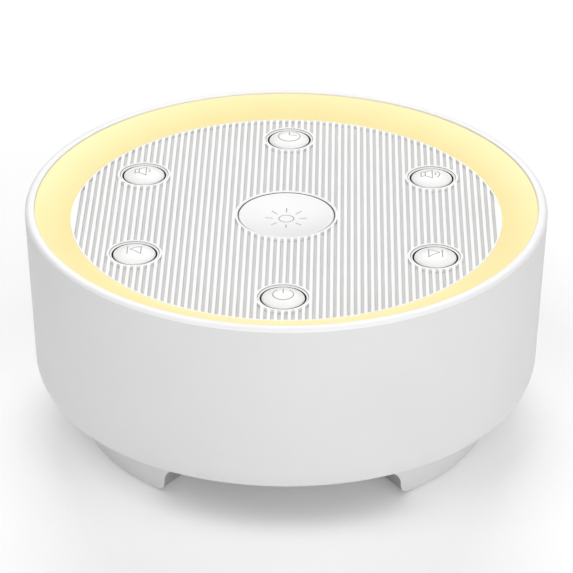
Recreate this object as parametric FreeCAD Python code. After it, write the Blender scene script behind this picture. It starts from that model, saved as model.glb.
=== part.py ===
import FreeCAD, Part
import math
import os

# White noise sound machine: a round tub with a light ring, a ribbed top with seven buttons,
# a loudspeaker that fires down through the base, and three arch feet.
# Millimetres. Z is up, the origin is on the floor under the middle, the front is at -Y.

# Fits and clearances
FIT = 0.05
LOOSE_FIT = 0.2
BUTTON_GAP = 0.34
CENTRE_BUTTON_GAP = 0.16
RUNNING_FIT = 0.05
COIL_GAP = 0.3
MAGNET_CLEARANCE = 2.1

# Housing shell
RIM_RADIUS = 52.6
BODY_HEIGHT = 47.9
WALL_DRAFT = 2.08
WALL = 2.2
EDGE_ARC_RADIUS = 6.97
EDGE_ARC_END = 30.5
EDGE_LIP = 2.35
RIM_WALL = 1.97
RIM_FILLET = 0.5
BOSS_RADIUS = 3.0
COVER_BOSS_HEIGHT = 12.0
TRAY_BOSS_LENGTH = 9.0
SEAT_CHAMFER_HEIGHT = 3.2

# Light ring
RING_DROP = 0.25
RING_THICKNESS = 1.75
RING_WIDTH = 7.0
RING_SLOPE_HEIGHT = 2.84
RING_FOOT = 0.875
RING_GAP = 0.08

# Top plate and its ribs
PLATE_DROP = 3.1
PLATE_THICKNESS = 2.0
GROOVE_BORDER = 0.32
GROOVE_PITCH = 1.327
GROOVE_WIDTH = 0.62
GROOVE_DEPTH = 0.55
COUNTERSINK_WIDTH = 0.5
COUNTERSINK_DEPTH = 0.5
LIP_WIDTH = 0.42
CENTRE_LIP_WIDTH = 0.56
SLEEVE_WALL = 1.0
SLEEVE_DEPTH = 2.4

# Buttons
BUTTON_INSET = 9.25
BUTTON_RADIUS = 4.2
BUTTON_EDGE_DROP = 0.2
BUTTON_DOME = 1.07
CENTRE_BUTTON_RADIUS = 9.68
CENTRE_DISH = 1.05
BUTTON_TRAVEL = 0.8
BUTTON_FLANGE_EXTRA = 1.15
BUTTON_FLANGE = 1.0
BUTTON_SHELL = 1.2
BUTTON_STEM_RADIUS = 1.9
BUTTONS = (
    ("power", -90.0),
    ("timer", 90.0),
    ("volume_up", 30.0),
    ("volume_down", 150.0),
    ("previous", -150.0),
    ("next", -30.0),
)

# Switches
SWITCH_SIDE = 6.2
SWITCH_HEIGHT = 3.5
PLUNGER_RADIUS = 1.6
PLUNGER_HEAD = 1.1
PLUNGER_DEPTH = 2.0
SWITCH_FLOOR_GAP = 0.2

# Control board
BOARD_INSET = 1.5
BOARD_THICKNESS = 1.6
BOARD_DROP = 7.4
BOARD_SCREW_INSET = 2.4
BOARD_SCREW_LENGTH = 4.2
BOARD_SCREW_ANGLES = (0.0, 60.0, 120.0, 180.0, 240.0, 300.0)

# Light tray
TRAY_FLOOR = 1.0
TRAY_WALL = 1.1
TRAY_FLOOR_WIDTH = 4.3
TRAY_NECK_INSET = 0.8
TRAY_FLANGE_OVERLAP = 1.9
TRAY_FLANGE_WIDTH = 3.4
TRAY_FLANGE = 1.0
TRAY_BOSS_RADIUS = 2.3
TRAY_BOSS_HEIGHT = 4.6
TRAY_SCREW_ANGLES = (22.5, 142.5, 262.5)
TRAY_SCREW_GAP = 0.15
TRAY_SCREW_LENGTH = 6.0
SWITCH_CLEARANCE = 0.25

# LED board and LEDs
LED_BOARD_GAP = 0.1
LED_BOARD_WIDTH = 4.0
LED_BOARD_THICKNESS = 1.0
LED_COUNT = 24
LED_LENGTH = 2.8
LED_WIDTH = 2.4
LED_HEIGHT = 1.1

# Base cover
COVER_THICKNESS = 2.0
COVER_RECESS = 0.25
COVER_SCREW_INSET = 3.0
COVER_SCREW_ANGLES = (30.0, 150.0, 270.0)
COVER_SCREW_LENGTH = 9.0
POST_RADIUS = 2.2
LEG_POST_HEIGHT = 3.2
SLOT_WIDTH = 1.6
SLOT_PITCH = 3.2
SLOT_FIELD_INSET = 2.3
SCREW_HEAD_DEPTH = 1.3

# Feet
LEG_INSET = 10.86
LEG_FLARE = 0.25
LEG_WIDTH = 8.74
LEG_HALF_ANGLE = 25.5
LEG_ANGLES = (90.0, 210.0, 330.0)
LEG_END_SLANT = 14.0
LEG_TOE_RADIUS = 2.8
ARCH_FILLET = 5.5
ARCH_FILLET_LIMIT = 0.75
ARCH_BRIDGE = 4.2
ARCH_NEAR_SHARE = 0.5
ARCH_FAR_SHARE = 1.4
LEG_SCREW_BRIDGE = 4.2
LEG_SCREW_LENGTH = 8.0
PAD_PROUD = 0.3
PAD_THICKNESS = 1.2
PAD_INSET = 1.6
PAD_HALF_ANGLE = 19.0

# Loudspeaker
CLOTH_THICKNESS = 0.3
CLOTH_INSET = 0.6
GASKET_THICKNESS = 1.5
GASKET_WIDTH = 3.6
SPEAKER_RADIUS = 26.0
SURROUND_LIP = 0.4
SURROUND_INSET = 4.6
SURROUND_WIDTH = 3.0
CONE_THICKNESS = 0.5
CONE_HEIGHT = 4.2
BASKET_METAL = 0.9
BASKET_FLANGE_WIDTH = 3.4
BASKET_CONE_WIDTH = 6.4
BASKET_LEDGE_WIDTH = 2.8
BASKET_WAIST_HEIGHT = 6.0
BASKET_BACK_HEIGHT = 9.0
BASKET_WINDOW_ANGLE = 50.0
BASKET_WINDOWS = 4
WASHER_THICKNESS = 1.6
WASHER_INSET = 1.0
MAGNET_RADIUS = 14.0
MAGNET_BORE_GAP = 1.45
MAGNET_THICKNESS = 3.4
YOKE_THICKNESS = 1.6
POLE_RADIUS = 5.8
FORMER_WALL = 0.2
WINDING_WALL = 0.35
WINDING_LENGTH = 3.2
FORMER_TOP_CLEARANCE = 1.9
SPIDER_THICKNESS = 0.35
SPIDER_WAVES = 3
SPIDER_WAVE_HEIGHT = 0.5
SPIDER_TROUGH_START = 0.25
SPIDER_TROUGH_SHARE = 0.5
DUST_CAP_OVERLAP = 1.3
DUST_CAP_HEIGHT = 2.0
DUST_CAP_THICKNESS = 0.3
SPEAKER_SCREW_ANGLES = (45.0, 135.0, 225.0, 315.0)
SPEAKER_SCREW_REACH = 2.4
SPEAKER_EAR_RADIUS = 2.6
SPEAKER_SCREW_LENGTH = 3.2
TERMINAL_HEIGHT = 1.2
TERMINAL_WIDTH = 4.4
TERMINAL_DEPTH = 2.6

# Power inlet
INLET_RISE = 6.8
SOCKET_WIDTH = 8.94
SOCKET_HEIGHT = 3.2
SOCKET_DEPTH = 7.3
SOCKET_WALL = 0.3
SOCKET_SETBACK = 1.0
SOCKET_CORNER = 1.5
SOCKET_CORNER_LIMIT = 0.48
SOCKET_BACK_WALL = 1.2
TONGUE_WIDTH = 6.6
TONGUE_THICKNESS = 0.7
INLET_POCKET_MARGIN = 1.7
INLET_POCKET_DEPTH = 0.8
INLET_BOARD_WIDTH = 20.0
INLET_BOARD_DEPTH = 12.0
INLET_BOARD_THICKNESS = 1.2
INLET_BOARD_SETBACK = 1.6
INLET_SCREW_SPACING = 15.0
INLET_SCREW_LENGTH = 4.6

# Screws
SCREW_SHANK = 1.0
SCREW_HEAD = 1.9
SCREW_HEAD_HEIGHT = 1.2
SCREW_HEAD_FILLET = 0.4
SCREW_RECESS_WIDTH = 0.5
SCREW_RECESS_LENGTH = 2.2
SCREW_RECESS_DEPTH = 0.6

# Board parts and leads
CHIP_HEIGHT = 1.2
PROCESSOR_SIDE = 8.0
AMPLIFIER_SIDE = 5.0
CAPACITOR_RADIUS = 3.1
CAPACITOR_HEIGHT = 7.0
CAPACITOR_ANGLES = (110.0, 130.0)
PROCESSOR_ANGLE = 200.0
AMPLIFIER_ANGLE = 160.0
MEMORY_ANGLE = 240.0
PART_INSET = 11.5
PLUG_LENGTH = 6.0
PLUG_WIDTH = 4.0
PLUG_HEIGHT = 4.5
PLUG_INSET = 8.0
WIRE_RADIUS = 0.6
WIRE_SPACING = 1.6
WIRE_BEND = 3.0
WIRE_RISE = 4.5
SPEAKER_PLUG_ANGLE = 0.0
POWER_PLUG_ANGLE = 75.0
LED_PLUG_ANGLE = 315.0
POWER_LEAD_X = 5.0
POWER_LEAD_INSET = 1.8
LED_LEAD_DEPTH = 5.4

# Heights that follow, from the rim down to the feet
PLATE_TOP = BODY_HEIGHT - PLATE_DROP
PLATE_UNDERSIDE = PLATE_TOP - PLATE_THICKNESS
BOARD_TOP = PLATE_UNDERSIDE - BOARD_DROP
BOARD_UNDERSIDE = BOARD_TOP - BOARD_THICKNESS
TRAY_TOP = BODY_HEIGHT - RING_DROP - RING_THICKNESS
LED_BOARD_UNDERSIDE = BOARD_TOP + TRAY_FLOOR
FLANGE_TOP = PLATE_UNDERSIDE - FIT
FLANGE_UNDERSIDE = FLANGE_TOP - BUTTON_FLANGE
SWITCH_TOP = BOARD_TOP + SWITCH_HEIGHT
PLUNGER_TOP = SWITCH_TOP + PLUNGER_HEAD
PLUG_UNDERSIDE = BOARD_UNDERSIDE - PLUG_HEIGHT
YOKE_TOP = BOARD_UNDERSIDE - MAGNET_CLEARANCE
MAGNET_TOP = YOKE_TOP - YOKE_THICKNESS
WASHER_TOP = MAGNET_TOP - MAGNET_THICKNESS
BASKET_BACK = WASHER_TOP - WASHER_THICKNESS
BASKET_SEAT = BASKET_BACK - BASKET_BACK_HEIGHT
CONE_NECK = BASKET_SEAT + CONE_HEIGHT
SURROUND_BOTTOM = BASKET_SEAT - SURROUND_LIP
COVER_TOP = SURROUND_BOTTOM - GASKET_THICKNESS
COVER_UNDERSIDE = COVER_TOP - COVER_THICKNESS
EDGE_HEIGHT = COVER_UNDERSIDE - COVER_RECESS
EDGE_ARC_TOP = EDGE_HEIGHT + EDGE_ARC_RADIUS * (
    math.sin(math.radians(EDGE_ARC_END)) - math.sin(math.radians(WALL_DRAFT))
)
ARCH_HEIGHT = COVER_UNDERSIDE - ARCH_BRIDGE
LEG_SCREW_SEAT = COVER_UNDERSIDE - LEG_SCREW_BRIDGE
INLET_HEIGHT = COVER_TOP + INLET_RISE
INLET_BOARD_TOP = INLET_HEIGHT - SOCKET_HEIGHT / 2
INLET_BOARD_UNDERSIDE = INLET_BOARD_TOP - INLET_BOARD_THICKNESS


def wall_radius(height):
    """Outer radius of the drafted wall at a height."""
    return RIM_RADIUS - (BODY_HEIGHT - height) * math.tan(math.radians(WALL_DRAFT))


def inner_wall_radius(height):
    """Inner radius of the housing wall at a height."""
    return wall_radius(height) - WALL


# Radii that follow, from the rim in to the board
RING_OUTER = RIM_RADIUS - RIM_WALL - FIT
RING_INNER = RING_OUTER - RING_WIDTH
PLATE_RADIUS = RING_INNER - RING_GAP
GROOVE_FIELD_RADIUS = PLATE_RADIUS - GROOVE_BORDER
BUTTON_CIRCLE = PLATE_RADIUS - BUTTON_INSET
BUTTON_BORE = BUTTON_RADIUS + BUTTON_GAP
CENTRE_BUTTON_BORE = CENTRE_BUTTON_RADIUS + CENTRE_BUTTON_GAP
COUNTERSINK_RADIUS = BUTTON_BORE + COUNTERSINK_WIDTH
LIP_RADIUS = COUNTERSINK_RADIUS + LIP_WIDTH
CENTRE_LIP_RADIUS = CENTRE_BUTTON_BORE + CENTRE_LIP_WIDTH
BOARD_RADIUS = PLATE_RADIUS - BOARD_INSET
BOARD_SCREW_CIRCLE = BOARD_RADIUS - BOARD_SCREW_INSET
PART_CIRCLE = BOARD_RADIUS - PART_INSET
PLUG_CIRCLE = BOARD_RADIUS - PLUG_INSET
TRAY_NECK_RADIUS = PLATE_RADIUS - TRAY_NECK_INSET
TRAY_INNER_RADIUS = TRAY_NECK_RADIUS - TRAY_FLOOR_WIDTH
TRAY_FLANGE_INNER = PLATE_RADIUS - TRAY_FLANGE_OVERLAP
TRAY_FLANGE_OUTER = TRAY_FLANGE_INNER + TRAY_FLANGE_WIDTH
TRAY_OUTER = inner_wall_radius(BOARD_TOP) - LOOSE_FIT
TRAY_WALL_INNER = TRAY_OUTER - TRAY_WALL
TRAY_SCREW_CIRCLE = TRAY_WALL_INNER - SCREW_HEAD - TRAY_SCREW_GAP
LED_BOARD_INNER = TRAY_NECK_RADIUS + TRAY_WALL + LED_BOARD_GAP
LED_BOARD_OUTER = LED_BOARD_INNER + LED_BOARD_WIDTH
LED_CIRCLE = (LED_BOARD_INNER + LED_BOARD_OUTER) / 2

# Radii that follow, at the lower edge and the feet
ARC_START_RADIUS = wall_radius(EDGE_ARC_TOP)
EDGE_RADIUS = ARC_START_RADIUS - EDGE_ARC_RADIUS * (
    math.cos(math.radians(WALL_DRAFT)) - math.cos(math.radians(EDGE_ARC_END))
)
COVER_RADIUS = EDGE_RADIUS - EDGE_LIP - LOOSE_FIT
COVER_SCREW_CIRCLE = COVER_RADIUS - COVER_SCREW_INSET
LEG_OUTER_RADIUS = RIM_RADIUS - LEG_INSET
LEG_INNER_RADIUS = LEG_OUTER_RADIUS - LEG_WIDTH
LEG_SCREW_CIRCLE = LEG_OUTER_RADIUS - LEG_WIDTH / 2

# Radii that follow, in the loudspeaker
FORMER_INNER = POLE_RADIUS + COIL_GAP
FORMER_OUTER = FORMER_INNER + FORMER_WALL
WINDING_OUTER = FORMER_OUTER + WINDING_WALL
WASHER_BORE = WINDING_OUTER + COIL_GAP
WASHER_RADIUS = MAGNET_RADIUS - WASHER_INSET
MAGNET_INNER = WASHER_BORE + MAGNET_BORE_GAP
DUST_CAP_RADIUS = FORMER_OUTER + DUST_CAP_OVERLAP
BASKET_MOUTH = SPEAKER_RADIUS - BASKET_FLANGE_WIDTH
BASKET_WAIST = BASKET_MOUTH - BASKET_CONE_WIDTH
BASKET_LEDGE = BASKET_WAIST - BASKET_LEDGE_WIDTH
SURROUND_OUTER_ROLL = SPEAKER_RADIUS - SURROUND_INSET
SURROUND_INNER_ROLL = SURROUND_OUTER_ROLL - SURROUND_WIDTH
SPEAKER_SCREW_CIRCLE = SPEAKER_RADIUS + SPEAKER_SCREW_REACH
GASKET_INNER = SPEAKER_RADIUS - GASKET_WIDTH
CLOTH_RADIUS = GASKET_INNER - CLOTH_INSET
SLOT_FIELD_RADIUS = CLOTH_RADIUS - SLOT_FIELD_INSET

# Places that follow, at the power inlet
SOCKET_MOUTH = wall_radius(INLET_HEIGHT) - SOCKET_SETBACK
SOCKET_BACK = SOCKET_MOUTH - SOCKET_DEPTH
INLET_BOARD_BACK = inner_wall_radius(INLET_HEIGHT) - INLET_BOARD_SETBACK
INLET_BOARD_FRONT = INLET_BOARD_BACK - INLET_BOARD_DEPTH
INLET_BOARD_MIDDLE = INLET_BOARD_BACK - INLET_BOARD_DEPTH / 2


def vec(x, y, z):
    """Short form of a vector."""
    return FreeCAD.Vector(x, y, z)


def cylinder(radius, bottom, top, x=0.0, y=0.0):
    """Upright cylinder between two heights."""
    return Part.makeCylinder(radius, top - bottom, vec(x, y, bottom))


def tube(outer, inner, bottom, top, x=0.0, y=0.0):
    """Upright tube between two heights."""
    reach = top - bottom
    return cylinder(outer, bottom, top, x, y).cut(cylinder(inner, bottom - reach, top + reach, x, y))


def box(width, depth, bottom, top, x=0.0, y=0.0):
    """Box centred on x and y between two heights."""
    return Part.makeBox(width, depth, top - bottom, vec(x - width / 2, y - depth / 2, bottom))


def revolved(points):
    """Solid turned about Z from a closed outline of radius and height pairs."""
    corners = [vec(radius, 0, height) for radius, height in points]
    face = Part.Face(Part.makePolygon(corners + corners[:1]))
    return face.revolve(vec(0, 0, 0), vec(0, 0, 1), 360)


def polar(radius, angle):
    """X and Y of a point at a radius and an angle in degrees."""
    return radius * math.cos(math.radians(angle)), radius * math.sin(math.radians(angle))


def turned(shape, angle):
    """Copy of a shape turned about Z by an angle in degrees."""
    copy = shape.copy()
    copy.rotate(vec(0, 0, 0), vec(0, 0, 1), angle)
    return copy


def moved(shape, x, y, z=0.0):
    """Copy of a shape moved by an offset."""
    copy = shape.copy()
    copy.translate(vec(x, y, z))
    return copy


def fused(shapes):
    """One solid made of overlapping shapes."""
    whole = shapes[0].fuse(shapes[1:]).removeSplitter()
    return whole


def hole_cutters(radius, bottom, top, places):
    """Cylinders that cut holes at a list of places."""
    return [cylinder(radius, bottom, top, x, y) for x, y in places]


def sector(inner, outer, half_angle, bottom, top):
    """Ring sector centred on the +X axis."""
    reach = 2 * outer
    x, y = polar(reach, half_angle)
    corners = [vec(0, 0, bottom), vec(x, -y, bottom), vec(x, y, bottom)]
    wedge = Part.Face(Part.makePolygon(corners + corners[:1])).extrude(vec(0, 0, top - bottom))
    return tube(outer, inner, bottom, top).common(wedge)


def screw(x, y, seat, length, up):
    """Pan-head screw with a cross recess. Its head lies on the seat height and its shank runs up or down."""
    head = cylinder(SCREW_HEAD, 0, SCREW_HEAD_HEIGHT)
    head = head.makeFillet(SCREW_HEAD_FILLET, [head.Edges[0]])
    shank = cylinder(SCREW_SHANK, -length, 0)
    for width, depth in ((SCREW_RECESS_WIDTH, SCREW_RECESS_LENGTH), (SCREW_RECESS_LENGTH, SCREW_RECESS_WIDTH)):
        head = head.cut(box(width, depth, SCREW_HEAD_HEIGHT - SCREW_RECESS_DEPTH, 2 * SCREW_HEAD_HEIGHT))
    body = head.fuse(shank)
    if up:
        body.rotate(vec(0, 0, 0), vec(1, 0, 0), 180)
    return moved(body, x, y, seat)


def screw_hole(x, y, bottom, top):
    """Cutter for a hole that holds a screw shank."""
    return cylinder(SCREW_SHANK + RUNNING_FIT, bottom, top, x, y)


def board_screw_places():
    """Places of the screws that hold the control board to the tray."""
    return [polar(BOARD_SCREW_CIRCLE, angle) for angle in BOARD_SCREW_ANGLES]


def housing_shell():
    """Tub wall with a drafted outside, a rounded lower edge, a rim and inner bosses."""
    arc_centre_radius = ARC_START_RADIUS - EDGE_ARC_RADIUS * math.cos(math.radians(WALL_DRAFT))
    arc_centre_height = EDGE_ARC_TOP + EDGE_ARC_RADIUS * math.sin(math.radians(WALL_DRAFT))
    middle = math.radians((WALL_DRAFT + EDGE_ARC_END) / 2)
    arc_middle = vec(
        arc_centre_radius + EDGE_ARC_RADIUS * math.cos(middle),
        0,
        arc_centre_height - EDGE_ARC_RADIUS * math.sin(middle),
    )
    rim_inner = RIM_RADIUS - RIM_WALL
    seat_height = TRAY_TOP - LOOSE_FIT
    top_outer = vec(RIM_RADIUS, 0, BODY_HEIGHT)
    arc_start = vec(ARC_START_RADIUS, 0, EDGE_ARC_TOP)
    edge = vec(EDGE_RADIUS, 0, EDGE_HEIGHT)
    inside = [
        edge,
        vec(EDGE_RADIUS - EDGE_LIP, 0, EDGE_HEIGHT),
        vec(EDGE_RADIUS - EDGE_LIP, 0, COVER_TOP),
        vec(inner_wall_radius(COVER_TOP + SEAT_CHAMFER_HEIGHT), 0, COVER_TOP + SEAT_CHAMFER_HEIGHT),
        vec(inner_wall_radius(seat_height), 0, seat_height),
        vec(rim_inner, 0, seat_height),
        vec(rim_inner, 0, BODY_HEIGHT),
        top_outer,
    ]
    edges = [Part.makeLine(top_outer, arc_start), Part.Arc(arc_start, arc_middle, edge).toShape()]
    edges += [Part.makeLine(start, end) for start, end in zip(inside, inside[1:])]
    shell = Part.Face(Part.Wire(edges)).revolve(vec(0, 0, 0), vec(0, 0, 1), 360)
    rim_edges = [
        rim for rim in shell.Edges
        if abs(rim.BoundBox.ZMin - BODY_HEIGHT) < FIT
        and abs(rim.BoundBox.ZMax - BODY_HEIGHT) < FIT
        and rim.BoundBox.XLength > 2 * RIM_RADIUS - RIM_WALL
    ]
    shell = shell.makeFillet(RIM_FILLET, rim_edges)
    return fit_out_shell(shell)


def boss_column(angle, circle, bottom, top):
    """Round boss with a web that joins it to the wall."""
    wall = inner_wall_radius(bottom) + WALL / 2
    x, y = polar(circle, angle)
    boss = cylinder(BOSS_RADIUS, bottom, top, x, y)
    web = Part.makeBox(wall - circle, BOSS_RADIUS, top - bottom, vec(circle, -BOSS_RADIUS / 2, bottom))
    return boss.fuse(turned(web, angle)).common(cylinder(wall, bottom, top))


def fit_out_shell(shell):
    """Adds the cover bosses and tray bosses, and cuts the inlet, to the plain shell."""
    cover_boss_top = COVER_TOP + COVER_BOSS_HEIGHT
    tray_boss_bottom = BOARD_TOP - TRAY_BOSS_LENGTH
    parts = [shell]
    holes = []
    for angle in COVER_SCREW_ANGLES:
        parts.append(boss_column(angle, COVER_SCREW_CIRCLE, COVER_TOP, cover_boss_top))
        x, y = polar(COVER_SCREW_CIRCLE, angle)
        holes.append(screw_hole(x, y, COVER_TOP - WALL, cover_boss_top - WALL))
    for angle in TRAY_SCREW_ANGLES:
        parts.append(boss_column(angle, TRAY_SCREW_CIRCLE, tray_boss_bottom, BOARD_TOP))
        x, y = polar(TRAY_SCREW_CIRCLE, angle)
        holes.append(screw_hole(x, y, tray_boss_bottom + WALL, BOARD_TOP + WALL))
    holes.append(socket_outline(LOOSE_FIT, SOCKET_BACK, RIM_RADIUS))
    holes.append(socket_outline(INLET_POCKET_MARGIN, wall_radius(INLET_HEIGHT) - INLET_POCKET_DEPTH, RIM_RADIUS))
    return fused(parts).cut(holes)


def socket_outline(margin, near, far):
    """Rounded bar along +Y with the outline of the socket and a margin round it."""
    width = SOCKET_WIDTH + 2 * margin
    height = SOCKET_HEIGHT + 2 * margin
    bar = Part.makeBox(width, far - near, height, vec(-width / 2, near, INLET_HEIGHT - height / 2))
    corner = min(SOCKET_CORNER + margin, SOCKET_CORNER_LIMIT * height)
    long_edges = [edge for edge in bar.Edges if edge.BoundBox.YLength > (far - near) / 2]
    return bar.makeFillet(corner, long_edges)


def light_ring():
    """Translucent ring with an outer lip and a bowl that slopes down to the plate."""
    top = TRAY_TOP + RING_THICKNESS
    inner_top = top - RING_SLOPE_HEIGHT
    lip_inner = TRAY_WALL_INNER - LOOSE_FIT
    outline = [
        (RING_OUTER, top),
        (RING_OUTER, TRAY_TOP),
        (lip_inner, TRAY_TOP),
        (RING_INNER + 2 * RING_FOOT, PLATE_UNDERSIDE + RING_FOOT),
        (RING_INNER + RING_FOOT, PLATE_UNDERSIDE),
        (RING_INNER, PLATE_UNDERSIDE),
        (RING_INNER, inner_top),
    ]
    return revolved(outline)


def button_places():
    """Centres of the six small buttons."""
    return [polar(BUTTON_CIRCLE, angle) for name, angle in BUTTONS]


def groove_cutter():
    """All groove bars, trimmed to the ribbed field and kept off the lips."""
    count = int(GROOVE_FIELD_RADIUS / GROOVE_PITCH)
    bottom = PLATE_TOP - GROOVE_DEPTH
    top = PLATE_TOP + GROOVE_DEPTH
    field = cylinder(GROOVE_FIELD_RADIUS, bottom, top)
    lips = hole_cutters(LIP_RADIUS, bottom - FIT, top + FIT, button_places())
    lips.append(cylinder(CENTRE_LIP_RADIUS, bottom - FIT, top + FIT))
    field = field.cut(lips)
    bars = []
    for index in range(-count - 1, count + 1):
        middle = (index + 0.5) * GROOVE_PITCH
        if abs(middle) + GROOVE_WIDTH < GROOVE_FIELD_RADIUS:
            bars.append(box(GROOVE_WIDTH, 2 * PLATE_RADIUS, bottom, top + FIT, middle))
    return field.common(Part.makeCompound(bars))


def top_plate():
    """Ribbed plate with countersunk button holes and guide sleeves under them."""
    sleeve_bottom = PLATE_UNDERSIDE - SLEEVE_DEPTH
    flange = BUTTON_RADIUS + BUTTON_FLANGE_EXTRA + LOOSE_FIT
    centre_flange = CENTRE_BUTTON_RADIUS + BUTTON_FLANGE_EXTRA + LOOSE_FIT
    parts = [cylinder(PLATE_RADIUS, PLATE_UNDERSIDE, PLATE_TOP)]
    holes = [cylinder(CENTRE_BUTTON_BORE, PLATE_UNDERSIDE, PLATE_TOP)]
    holes.append(cylinder(centre_flange, sleeve_bottom, PLATE_UNDERSIDE))
    parts.append(cylinder(centre_flange + SLEEVE_WALL, sleeve_bottom, PLATE_UNDERSIDE))
    for x, y in button_places():
        parts.append(cylinder(flange + SLEEVE_WALL, sleeve_bottom, PLATE_UNDERSIDE, x, y))
        holes.append(cylinder(flange, sleeve_bottom, PLATE_UNDERSIDE, x, y))
        holes.append(cylinder(BUTTON_BORE, PLATE_UNDERSIDE, PLATE_TOP, x, y))
        sink = Part.makeCone(BUTTON_BORE, COUNTERSINK_RADIUS, COUNTERSINK_DEPTH)
        holes.append(moved(sink, x, y, PLATE_TOP - COUNTERSINK_DEPTH))
    plate = fused(parts).cut(holes)
    return plate.cut(groove_cutter())


def small_button_cap():
    """Domed cap with a flange that keeps it under the plate and a stem that reaches the switch."""
    edge = PLATE_TOP - BUTTON_EDGE_DROP
    sphere = (BUTTON_RADIUS ** 2 + BUTTON_DOME ** 2) / (2 * BUTTON_DOME)
    dome = Part.makeSphere(sphere, vec(0, 0, edge + BUTTON_DOME - sphere))
    cap = cylinder(BUTTON_RADIUS, FLANGE_UNDERSIDE, edge + BUTTON_DOME).common(dome)
    return finished_cap(cap, BUTTON_RADIUS, edge - BUTTON_SHELL)


def light_button_cap():
    """Large cap with a dished face."""
    sphere = (CENTRE_BUTTON_RADIUS ** 2 + CENTRE_DISH ** 2) / (2 * CENTRE_DISH)
    dish = Part.makeSphere(sphere, vec(0, 0, PLATE_TOP - CENTRE_DISH + sphere))
    cap = cylinder(CENTRE_BUTTON_RADIUS, FLANGE_UNDERSIDE, PLATE_TOP).cut(dish)
    return finished_cap(cap, CENTRE_BUTTON_RADIUS, FLANGE_TOP - FIT)


def finished_cap(cap, radius, ceiling):
    """Hollows a cap, then adds its flange and stem."""
    flange = cylinder(radius + BUTTON_FLANGE_EXTRA, FLANGE_UNDERSIDE, FLANGE_TOP)
    stem = cylinder(BUTTON_STEM_RADIUS, PLUNGER_TOP, ceiling + FIT)
    hollow = cylinder(radius - BUTTON_SHELL, FLANGE_UNDERSIDE, ceiling)
    return fused([cap.fuse(flange).cut(hollow), stem])


def switch_plunger():
    """Round plunger that the cap presses into its switch."""
    return cylinder(PLUNGER_RADIUS, SWITCH_TOP - PLUNGER_DEPTH, PLUNGER_TOP)


def switch_body():
    """Square switch case with a blind hole for its plunger."""
    floor = SWITCH_TOP - PLUNGER_DEPTH - BUTTON_TRAVEL - SWITCH_FLOOR_GAP
    case = box(SWITCH_SIDE, SWITCH_SIDE, BOARD_TOP, SWITCH_TOP)
    return case.cut(cylinder(PLUNGER_RADIUS + RUNNING_FIT, floor, SWITCH_TOP))


def control_board():
    """Round board that carries the seven switches."""
    board = cylinder(BOARD_RADIUS, BOARD_UNDERSIDE, BOARD_TOP)
    holes = [screw_hole(x, y, BOARD_UNDERSIDE, BOARD_TOP) for x, y in board_screw_places()]
    return board.cut(holes)


def light_tray():
    """Ring tray that carries the light ring, the plate, the LED board and the control board."""
    floor_top = LED_BOARD_UNDERSIDE
    flange_bottom = PLATE_UNDERSIDE - TRAY_FLANGE
    outline = [
        (TRAY_INNER_RADIUS, BOARD_TOP),
        (TRAY_OUTER, BOARD_TOP),
        (TRAY_OUTER, TRAY_TOP),
        (TRAY_WALL_INNER, TRAY_TOP),
        (TRAY_WALL_INNER, floor_top),
        (TRAY_NECK_RADIUS + TRAY_WALL, floor_top),
        (TRAY_NECK_RADIUS + TRAY_WALL, flange_bottom),
        (TRAY_FLANGE_OUTER, flange_bottom),
        (TRAY_FLANGE_OUTER, PLATE_UNDERSIDE),
        (TRAY_FLANGE_INNER, PLATE_UNDERSIDE),
        (TRAY_FLANGE_INNER, flange_bottom),
        (TRAY_NECK_RADIUS, flange_bottom),
        (TRAY_NECK_RADIUS, floor_top),
        (TRAY_INNER_RADIUS, floor_top),
    ]
    parts = [revolved(outline)]
    holes = []
    for x, y in board_screw_places():
        parts.append(cylinder(TRAY_BOSS_RADIUS, BOARD_TOP, BOARD_TOP + TRAY_BOSS_HEIGHT, x, y))
        holes.append(screw_hole(x, y, BOARD_TOP, BOARD_TOP + TRAY_BOSS_HEIGHT - TRAY_FLOOR))
    for angle in TRAY_SCREW_ANGLES:
        x, y = polar(TRAY_SCREW_CIRCLE, angle)
        holes.append(screw_hole(x, y, BOARD_TOP, floor_top))
    x, y = polar(LED_CIRCLE, LED_PLUG_ANGLE)
    holes.append(cylinder(WIRE_SPACING + WIRE_RADIUS / 2, BOARD_TOP, floor_top, x, y))
    clear = math.hypot(SWITCH_SIDE, SWITCH_SIDE) / 2 + SWITCH_CLEARANCE
    recesses = [cylinder(clear, BOARD_TOP, BOARD_TOP + TRAY_BOSS_HEIGHT, x, y) for x, y in button_places()]
    return fused(parts).cut(recesses).cut(holes)


def led_board():
    """Flat ring board under the light ring, notched at the tray screws."""
    bottom = LED_BOARD_UNDERSIDE
    board = tube(LED_BOARD_OUTER, LED_BOARD_INNER, bottom, bottom + LED_BOARD_THICKNESS)
    notches = []
    for angle in TRAY_SCREW_ANGLES:
        x, y = polar(TRAY_SCREW_CIRCLE, angle)
        notches.append(cylinder(SCREW_HEAD + TRAY_SCREW_GAP, bottom, bottom + LED_BOARD_THICKNESS, x, y))
    return board.cut(notches)


def leds():
    """Ring of LEDs on the LED board."""
    bottom = LED_BOARD_UNDERSIDE + LED_BOARD_THICKNESS
    led = box(LED_WIDTH, LED_LENGTH, bottom, bottom + LED_HEIGHT, LED_CIRCLE)
    return Part.makeCompound([turned(led, 360.0 * index / LED_COUNT) for index in range(LED_COUNT)])


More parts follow.
